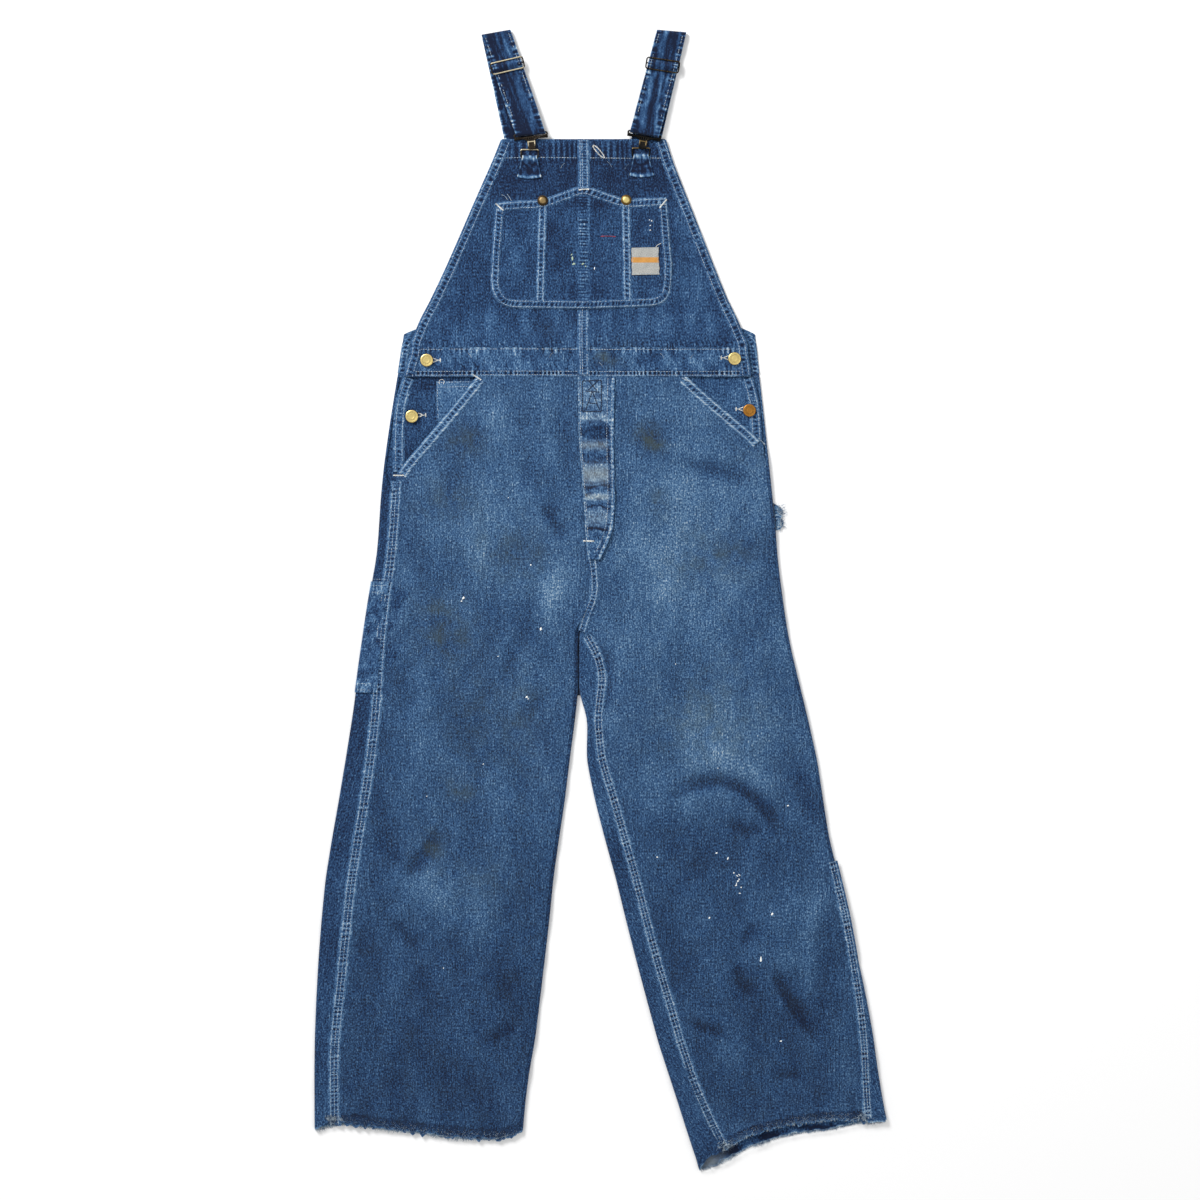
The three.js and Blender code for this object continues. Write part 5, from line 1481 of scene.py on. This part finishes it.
# ---- Tabs ----
# A tapered tab of strap denim runs from each end of the bib's top hem, through the ring and back on itself.
# It is barred with stitches above the hem, and rubbed pale at its edges and over the ring; its fold and its
# V-shaped notch are painted darker as shade.
for name, lean, seed in (("left", -0.045, 231), ("right", 0.06, 235)):
    low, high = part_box(f"tab_ring_{name}")
    middle_x, bar_y, bar_z = (low.x + high.x) / 2, low.y + 0.9 * MM, (low.z + high.z) / 2 / MM
    # In mm: distance along the tab from the ring's bar, height and half width.
    rows = np.array([(-25.3, 3.9, 15.3), (-23.6, 3.9, 15.2), (-21, 3.9, 14.3), (-12, 3.9, 12.3),
                     (-6, 5.0, 10.9), (0, bar_z + 2.1, 9.3), (1.4, bar_z + 1.5, 9.2), (2.1, bar_z, 9.2)])
    run = np.concatenate([[0], np.cumsum(np.hypot(np.diff(rows[:, 0]), np.diff(rows[:, 1])))])
    down, z, half = (np.interp(np.linspace(run[-1], 0, 40), run, rows[:, k])[:, None] * MM for k in range(3))
    u = np.linspace(-1, 1, 28)[None, :]
    x = middle_x + half * u + lean * -down * 0.5
    y = bar_y + down + 0 * u - 2.2 * MM * (1 - u**2) * fade_mm(-13, -22, down)
    inset = (1 - np.abs(u)) * half
    bars = hump(down, -23.4, 1.9) + hump(down, -1, 2.6)
    edge, lane = hump(inset, 0, 1.3), hump(inset, 2.6, 1.1)
    fold_and_shade = hump(down, -18, 3.2) * (0.5 + 0.5 * np.cos(u * 7))
    rough = undulation(x, y, 6.5, seed)
    notch_and_shade = np.exp(-(((down / MM + 13 - 7 * np.abs(u)) / 1.8) ** 2)) * fade(1, 0.55, np.abs(u))
    # The fold and the notch are painted darker as shade.
    worn = 0.1 + 1.0 * bars + 0.85 * edge - 0.35 * lane - 0.7 * fold_and_shade + 0.25 * rough
    worn = worn - 0.6 * notch_and_shade + 0.2 * np.exp(-((u / 0.3) ** 2)) * hump(down, -5, 4)
    lift = 0.35 * bars + 0.2 * edge - 0.25 * fold_and_shade - 0.3 * notch_and_shade + 0.14 * rough
    grid = np.stack([x, y, z + lift * MM], axis=-1)
    grid = grid + outward(grid, -1) * 0.5 * MM
    tab = shell(f"tab_cloth_{name}", grid, -1, {"worn": worn, "stain": 0.0}, strap_denim, reverse=0.0)
    as_cloth(tab, f"tab_{name}")

# ---- Buttons and rivets ----
# Stamped brass caps closed over shanks, four buttons at the side openings and two rivets on the bib pocket.
# Each is plain, with a raised rim and a shallow ring; white buttonholes show beside the buttons.
button_brass = metal_finish("button_brass", tint(234, 212, 140), tint(96, 74, 36), 1.0, 0.3)
copper_brass = metal_finish("coppery_brass", tint(176, 122, 52), tint(66, 42, 20), 1.1, 0.34)
rubbed_brass = metal_finish("rubbed_brass", tint(158, 134, 92), tint(58, 46, 30), 1.1, 0.34)
# Outlines from the middle out and under: share of the radius, and height in mm.
BUTTON_SHAPE = [(0, 2.45), (0.2, 2.45), (0.36, 2.5), (0.42, 2.68), (0.5, 2.5), (0.68, 2.5), (0.8, 2.8),
                (0.9, 2.78), (0.99, 2.3), (1.0, 1.6), (0.93, 1.0), (0.6, 0.8), (0.5, 0.2), (0.45, 0.05)]
RIVET_SHAPE = [(0, 3.1), (0.2, 3.05), (0.42, 2.9), (0.62, 2.55), (0.76, 2.0), (0.84, 1.55), (0.9, 1.5),
               (0.98, 1.35), (1.0, 0.9), (0.95, 0.6), (0.6, 0.5), (0.5, 0.05)]
SPIN = 40  # points round each


def lathed(name, node, shape, material, wear_and_shading_by_radius):
    """A turned piece about the middle of its node; the last argument gives its brightness at each share of
    the radius, from wear, patina and painted highlight and shade.
    """
    low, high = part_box(node)
    middle, radius = (low + high) / 2, (high.x - low.x) / 2 - 0.1 * MM
    angle = np.arange(SPIN) * 2 * math.pi / SPIN
    rings = np.array([[(radius * r * math.cos(a), radius * r * math.sin(a), z * MM) for a in angle]
                      for r, z in shape[1:]])
    points = np.concatenate([rings.reshape(-1, 3), [[0, 0, shape[0][1] * MM]]])
    index = np.arange(len(rings) * SPIN).reshape(len(rings), SPIN)
    spun = np.roll(index, -1, axis=1)
    quads = np.stack([index[:-1], index[1:], spun[1:], spun[:-1]], axis=-1).reshape(-1, 4)
    hub = [[len(points) - 1, a, b] for a, b in zip(index[0].tolist(), spun[0].tolist())]
    worn = [wear_and_shading_by_radius(r) for r, _ in shape[1:] for _ in range(SPIN)] + [wear_and_shading_by_radius(0)]
    place = points + np.array([middle.x, middle.y, low.z])
    piece = mesh_of(name, place, quads.tolist() + hub, {"worn": worn}, None, material)
    stand_for(piece, node)


# The buttons are dark with patina in the hollow inside the rim, a little brighter in the middle, and painted
# darker down the outside of the rim as shade.
for place in ("waist", "hip"):
    for side in ("left", "right"):
        metal = copper_brass if (place, side) == ("hip", "right") else button_brass
        lathed(f"{place}_button_cap_{side}", f"{place}_button_{side}", BUTTON_SHAPE, metal, lambda r: 0.78
               - 0.3 * math.exp(-((r - 0.6) / 0.12) ** 2) - 0.55 * (r > 0.95) + 0.1 * (r < 0.3))
# The rivets are painted bright on top of the dome and dark down its sides, as highlight and shade.
for side in ("left", "right"):
    lathed(f"rivet_cap_{side}", f"rivet_{side}", RIVET_SHAPE, rubbed_brass if side == "left"
           else button_brass, lambda r: 0.75 - 0.95 * fade(0.45, 0.86, r) + 0.2 * (r > 0.88))
side_ground = height_of(waistband, facing_left, facing_right, bpy.data.objects["bib_hem_right"],
                        *bib.values())
HOLES = {"waist_left": ((-214, 306.6), 1, waistband), "waist_right": ((163.5, 309.7), -1, waistband),
         "hip_left": ((-233, 236.6), 1, facing_left), "hip_right": ((182.6, 244.3), -1, facing_right)}
for hole, ((hx, hy), way, parent) in HOLES.items():
    seed = 240 + len(hole)
    strokes = [[(hx, hy + 2.6), (hx + way * 2.8, hy + 1.5), (hx + way * 5, hy + 0.5)],
               [(hx, hy - 2.4), (hx + way * 2.8, hy - 1.3), (hx + way * 5, hy - 0.4)],
               [(hx + way * 5, hy), (hx + way * 7, hy + 0.1), (hx + way * 9, hy)],
               [(hx + way * 9, hy + 2.3), (hx + way * 9.2, hy), (hx + way * 9, hy - 2.1)]]
    for i, stroke in enumerate(strokes):
        whipped(f"buttonhole_{hole}_{i + 1}", stroke, 1.25, side_ground, parent, seed + i)
oval = [(-2.4 + 7.031 * math.cos(a) + 1.6 * math.sin(a), 574 - 7.832 * math.cos(a) + 1.6 * math.sin(a))
        for a in np.linspace(0, 2 * math.pi, 18)]
whipped("bib_eyelet_rim", oval, 1.3, bib_top, bib["right"], 250, raised=0.4)

# ---- Frayed hems and loose threads ----
# The legs were cut off and never hemmed, so the weft hangs from the raw edges in short pale ends.
# Longer ends of thread lie where a row of stitching has come undone.
def fringe(name, roots, ways, lengths, parent, seed, thread, thick=0.34, curl=0.5):
    """Many bent thread ends as one joined mesh, from roots (x, y, z) in the given directions."""
    rng = np.random.default_rng(seed)
    count = len(roots)
    ways = ways + rng.normal(0, 0.28, ways.shape)
    ways /= np.linalg.norm(ways, axis=1, keepdims=True)
    bend = rng.normal(0, curl, count)
    stations = []
    for share in np.linspace(0, 1, 5):
        left = np.column_stack([-ways[:, 1], ways[:, 0]])
        at = roots[:, :2] + (ways * share + left * (bend * share * share)[:, None]) * lengths[:, None]
        z = roots[:, 2] + 0.3 * MM * np.sin(share * math.pi * 0.8) - 0.4 * share * (roots[:, 2] - 0.8 * MM)
        wide = thick * MM * (1.2 - 0.8 * share)
        for a in (90, 210, 330):
            off = wide * math.cos(math.radians(a))
            stations.append(np.column_stack([at + left * off, z + wide * math.sin(math.radians(a))]))
    points = np.stack(stations, axis=1).reshape(-1, 3)
    one = [[s * 3 + k, s * 3 + (k + 1) % 3, s * 3 + (k + 1) % 3 + 3, s * 3 + k + 3]
           for s in range(4) for k in range(3)]
    faces = (np.array(one)[None] + len(stations) * np.arange(count)[:, None, None]).reshape(-1, 4)
    return mesh_of(name, points, faces, {}, points[:, :2], thread, 80, parent)


fray_thread = thread_finish("fray_thread", tint(176, 190, 200), tint(70, 94, 124))
for name, seed in (("left", 261), ("right", 265)):
    shape = Outline(f"back_leg_{name}", ease=1)
    rng = np.random.default_rng(seed)
    x = np.sort(rng.uniform(shape.ends[0][0][0] + 1 * MM, shape.ends[0][0][-1] - 1 * MM, 900))
    y = shape.bottom(x)
    slope = np.gradient(shape.bottom(x), x + 1e-9 * np.arange(len(x)))
    ways = np.column_stack([np.clip(slope, -1, 1), -np.ones(len(x))])
    deep = np.where(rng.uniform(size=len(x)) < 0.5, 0.8 * MM, 4.4 * MM)
    lengths = (0.9 + 2.4 * rng.uniform(size=len(x)) ** 3) * MM * (1 + 0.6 * swell(x, 40, seed))
    roots = np.column_stack([x, y + 1.2 * MM, deep])
    fringe(f"hem_fringe_{name}", roots, ways, np.clip(lengths, 0.8 * MM, 5 * MM) + 1.2 * MM, front_legs[name],
           seed, fray_thread)
    front = Outline(f"front_leg_{name}", ease=1)
    x = rng.uniform(front.ends[0][0][0] + 3 * MM, front.ends[0][0][-1] - 3 * MM, 620)
    y = front.bottom(x) + gape(x) + rng.triangular(0, 1, 13, len(x)) * MM
    roots = np.column_stack([x, y, height_of(front_legs[name])(x, y)])
    fringe(f"hem_hairs_{name}", roots, np.tile([[0.0, -1.0]], (len(x), 1)), rng.uniform(1.2, 3.4, len(x))
           * MM, front_legs[name], seed + 1, pale_thread, thick=0.36)
tuft_rng = np.random.default_rng(270)
tuft = np.column_stack([tuft_rng.uniform(-352, -331, 60) * MM, tuft_rng.uniform(-664, -659, 60) * MM,
                        np.full(60, 6.2 * MM)])
fringe("hem_tuft", tuft, np.tile([[0.5, -1.0]], (60, 1)), tuft_rng.uniform(4, 10, 60) * MM,
       front_legs["left"], 271, fray_thread, curl=0.8)
for name, (cx, cy), seed in (("inner", (160, -697), 274), ("outer", (339, -661), 275)):
    ends = np.column_stack([tuft_rng.normal(cx, 4, 46) * MM, tuft_rng.normal(cy, 3, 46) * MM,
                            np.full(46, 6.4 * MM)])
    fringe(f"hem_tuft_{name}", ends, tuft_rng.normal(0, 1, (46, 2)) + np.array([0, -0.9]),
           tuft_rng.uniform(3, 8, 46) * MM, front_legs["right"], seed, fray_thread, curl=0.8)
rag_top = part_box("torn_scrap")
rag_rng = np.random.default_rng(272)
rag = np.column_stack([rag_rng.uniform(rag_top[1].x - 9 * MM, rag_top[1].x - 3 * MM, 60),
                       rag_rng.uniform(rag_top[0].y + 2 * MM, rag_top[1].y - 2 * MM, 60),
                       np.full(60, 2.2 * MM)])
fringe("torn_rag_threads", rag, rag_rng.normal(0, 1, (60, 2)) + np.array([0.9, 0.0]),
       rag_rng.uniform(2, 7, 60) * MM, scrap, 273, fray_thread, curl=0.9)


def loose_thread(name, line, ground, parent, thread=None, radius=0.3):
    """One long end of thread lying in a curve."""
    path = evenly(np.asarray(line, float) * MM, 1.0)
    z = ground(path[:, 0], path[:, 1]) + radius * MM
    points, faces = wire(np.column_stack([path, z]), radius * MM, closed=False, sides=5)
    return mesh_of(name, points, faces, {}, points[:, :2], thread or pale_thread, 80, parent)


label_and_pocket = height_of(label, pocket_border, bib_pocket, *bib.values())
loose_thread("label_thread", [(70.6, 451.4), (73, 454.2), (77.4, 456.2)], label_and_pocket, label,
             white_thread)
loose_thread("watch_pocket_thread", [(-206, 276), (-206.4, 280.5), (-203, 282.4), (-199.8, 280),
                                     (-201.2, 276.4)], watch_ground, watch_pocket, white_thread)
corner = height_of(pocket_mouth, bib_pocket, *bib.values())
loose_thread("pocket_corner_thread_1", [(-119, 512), (-122, 516.5), (-126.5, 518.8)], corner, bib_pocket)
loose_thread("pocket_corner_thread_2", [(-114, 511), (-116.6, 515.5), (-119.5, 519.5)], corner, bib_pocket)
for i, (ax, ay, length) in enumerate(((-98, 561, 9), (-46, 559, 8), (8, 562, 10), (36, 558, 8), (76, 316, 8),
                                      (-60, 317, 9), (-2, 304, 8), (120, 315, 8), (-170, 316, 8))):
    lean = -1 if i % 2 else 1
    loose_thread(f"hem_whisker_{i + 1}", [(ax, ay), (ax + lean * length * 0.4, ay - length * 0.35),
                                          (ax + lean * length * 0.6, ay - length * 0.8)], bib_and_band,
                 bib["left"], fray_thread, 0.22)

# ---- Paint ----
# Splashes of white emulsion dried on the cloth: small round drops, a few runs and a thin smear on the shin.
# A few pale green ones lie on the bib pocket. Each has soaked into the weave and stands just proud of it.
def paint_finish(name, dull, clean):
    """Dried emulsion: a thin crackled skin, dull in its cracks."""
    material, n = bare_material(name)
    crackle = n.noise(n.place(), 900.0, 3.0, 0.6)
    colour = n.ramp(crackle, ((0.25, dull), (0.6, clean)))
    n.surface(Base_Color=colour, Roughness=0.55, Normal=n.bump(0.5, 0.2, crackle))
    return material


dried_paint = paint_finish("dried_paint", tint(206, 214, 212), tint(242, 244, 240))
green_paint = paint_finish("dried_green_paint", tint(112, 138, 122), tint(168, 186, 160))

DROP_POINTS = 12  # points round a drop
DROP_TURN = 2 * math.pi / DROP_POINTS  # angle between them


def splashes(name, drops, ground, parent, seed, material=dried_paint):
    """Flat dried drops as one joined mesh: x, y, half length, half width in mm and turn in degrees."""
    rng = np.random.default_rng(seed)
    points, faces = [], []
    for dx, dy, long, wide, turn in drops:
        start = len(points)
        lobes = 1 + 0.22 * np.sin(np.arange(DROP_POINTS) * DROP_TURN * rng.integers(2, 5)
                                  + rng.uniform(0, 6))
        c, s = math.cos(math.radians(turn)), math.sin(math.radians(turn))
        drop = []
        for share, lift in ((1.0, -0.05), (0.75, 0.2), (0.35, 0.3)):
            for k in range(DROP_POINTS):
                a = k * DROP_TURN
                u, v = long * share * lobes[k] * math.cos(a), wide * share * lobes[k] * math.sin(a)
                drop.append(((dx + u * c - v * s) * MM, (dy + u * s + v * c) * MM, lift * MM))
        drop = np.array(drop + [(dx * MM, dy * MM, 0.32 * MM)])
        drop[:, 2] += ground(drop[:, 0], drop[:, 1])
        points.extend(drop.tolist())
        for k in range(DROP_POINTS):
            after = (k + 1) % DROP_POINTS
            rings = [(start + r * DROP_POINTS + k, start + r * DROP_POINTS + after) for r in range(3)]
            faces.extend([a, b, d, c] for (a, b), (c, d) in zip(rings, rings[1:]))
            faces.append([*rings[2], start + 3 * DROP_POINTS])
    return mesh_of(name, points, faces, {}, None, material, sharp=None, parent=parent)


leg_ground = height_of(*front_legs.values())
splashes("paint_left_leg", [(-175.6, 2.5, 2.2, 1.3, 50), (-178, -1.5, 1.2, 0.8, 10),
                            (-76.4, -37.1, 2.1, 1.3, 80), (-94.3, -124.2, 1.7, 1.2, 20),
                            (-92.5, -126.5, 0.9, 0.7, 0), (-89.2, 44.8, 1.2, 0.8, 90),
                            (-131, -72, 0.9, 0.6, 0), (-150, -210, 0.9, 0.7, 30), (-222, -251, 0.8, 0.6, 0),
                            (-201, -471, 0.9, 0.6, 60), (-118, 131, 0.8, 0.5, 40)], leg_ground,
         front_legs["left"], 281)
smear = [(175.5 + 7 * math.sin(k * 2.4) * k / 9, -359.7 + 1.9 * k * math.cos(k * 1.7),
          1.0 + 0.9 * math.sin(k) ** 2, 0.5 + 0.3 * math.cos(k) ** 2, 40 * k) for k in range(10)]
splashes("paint_right_leg", smear + [(219.5, -401.7, 1.8, 1.4, 30), (204.9, -459.3, 3.6, 1.2, 88),
                                     (230.8, -564.5, 1.4, 1.0, 0), (139.3, -406.6, 1.5, 1.0, 60),
                                     (148.5, -323.9, 1.5, 0.9, 20), (163, -330.9, 1.9, 0.9, 70),
                                     (72.6, -329, 1.2, 0.9, 0), (239.8, -263.2, 1.3, 0.9, 40),
                                     (297.4, -349.5, 1.4, 0.9, 90), (150, -215, 0.8, 0.5, 0),
                                     (96, -82, 0.8, 0.6, 0)], leg_ground, front_legs["right"], 282)
splashes("paint_bib_pocket", [(-7.7, 424.4, 1.5, 0.8, 90), (65.4, 485.1, 1.1, 0.7, 0),
                              (62.6, 486.4, 0.8, 0.5, 30), (63.6, 479.2, 0.9, 0.7, 40),
                              (63.6, 473.3, 1.0, 0.7, 0)], pocket_all, bib_pocket, 283)
splashes("green_paint_bib_pocket", [(-36, 437.1, 2.6, 1.2, 80), (-34.2, 430.1, 2.2, 1.3, 20),
                                    (-37, 442, 1.3, 0.8, 60), (-22.6, 430.1, 1.8, 1.1, 30),
                                    (-19, 427, 1.0, 0.8, 0)], pocket_all, bib_pocket, 284, green_paint)

# ---- Floor, light and camera ----
# A plain white floor, and soft studio light from a panel at the upper left and a wider one opposite.
# The camera hangs over the middle of the garment and looks straight down.
CAMERA_HEIGHT = 3.63
FLOOR_REACH = 40.0
middle = (frame_low + frame_high) / 2
white_floor, n = bare_material("white_floor")
n.surface(Base_Color=(0.9, 0.9, 0.9, 1), Roughness=0.9)
corners = [(-FLOOR_REACH, -FLOOR_REACH, 0), (FLOOR_REACH, -FLOOR_REACH, 0), (FLOOR_REACH, FLOOR_REACH, 0),
           (-FLOOR_REACH, FLOOR_REACH, 0)]
mesh_of("floor", corners, [[0, 1, 2, 3]], {}, None, white_floor)


def panel_light(name, place, size, power):
    """A square panel that shines on the middle of the garment."""
    data = bpy.data.lights.new(name, "AREA")
    data.shape, data.size, data.energy = "SQUARE", size, power
    light = bpy.data.objects.new(name, data)
    light.location = place
    light.rotation_euler = (middle - Vector(place)).to_track_quat("-Z", "Y").to_euler()
    bpy.context.scene.collection.objects.link(light)


panel_light("key", (-2.0, 2.4, 2.0), 1.2, 150)
panel_light("fill", (2.6, -1.0, 3.0), 3.0, 30)
world = bpy.data.worlds.new("studio")
world.use_nodes = True
background = world.node_tree.nodes["Background"].inputs
background["Color"].default_value = (1, 1, 1, 1)
background["Strength"].default_value = 0.62
bpy.context.scene.world = world
bpy.context.scene.view_settings.view_transform = "Standard"

eye = bpy.data.cameras.new("above")
eye.lens, eye.sensor_width = 85, 36
eye.clip_end = 100
camera = bpy.data.objects.new("above", eye)
camera.location = (middle.x - 0.0007, middle.y, CAMERA_HEIGHT)
bpy.context.scene.collection.objects.link(camera)
bpy.context.scene.camera = camera
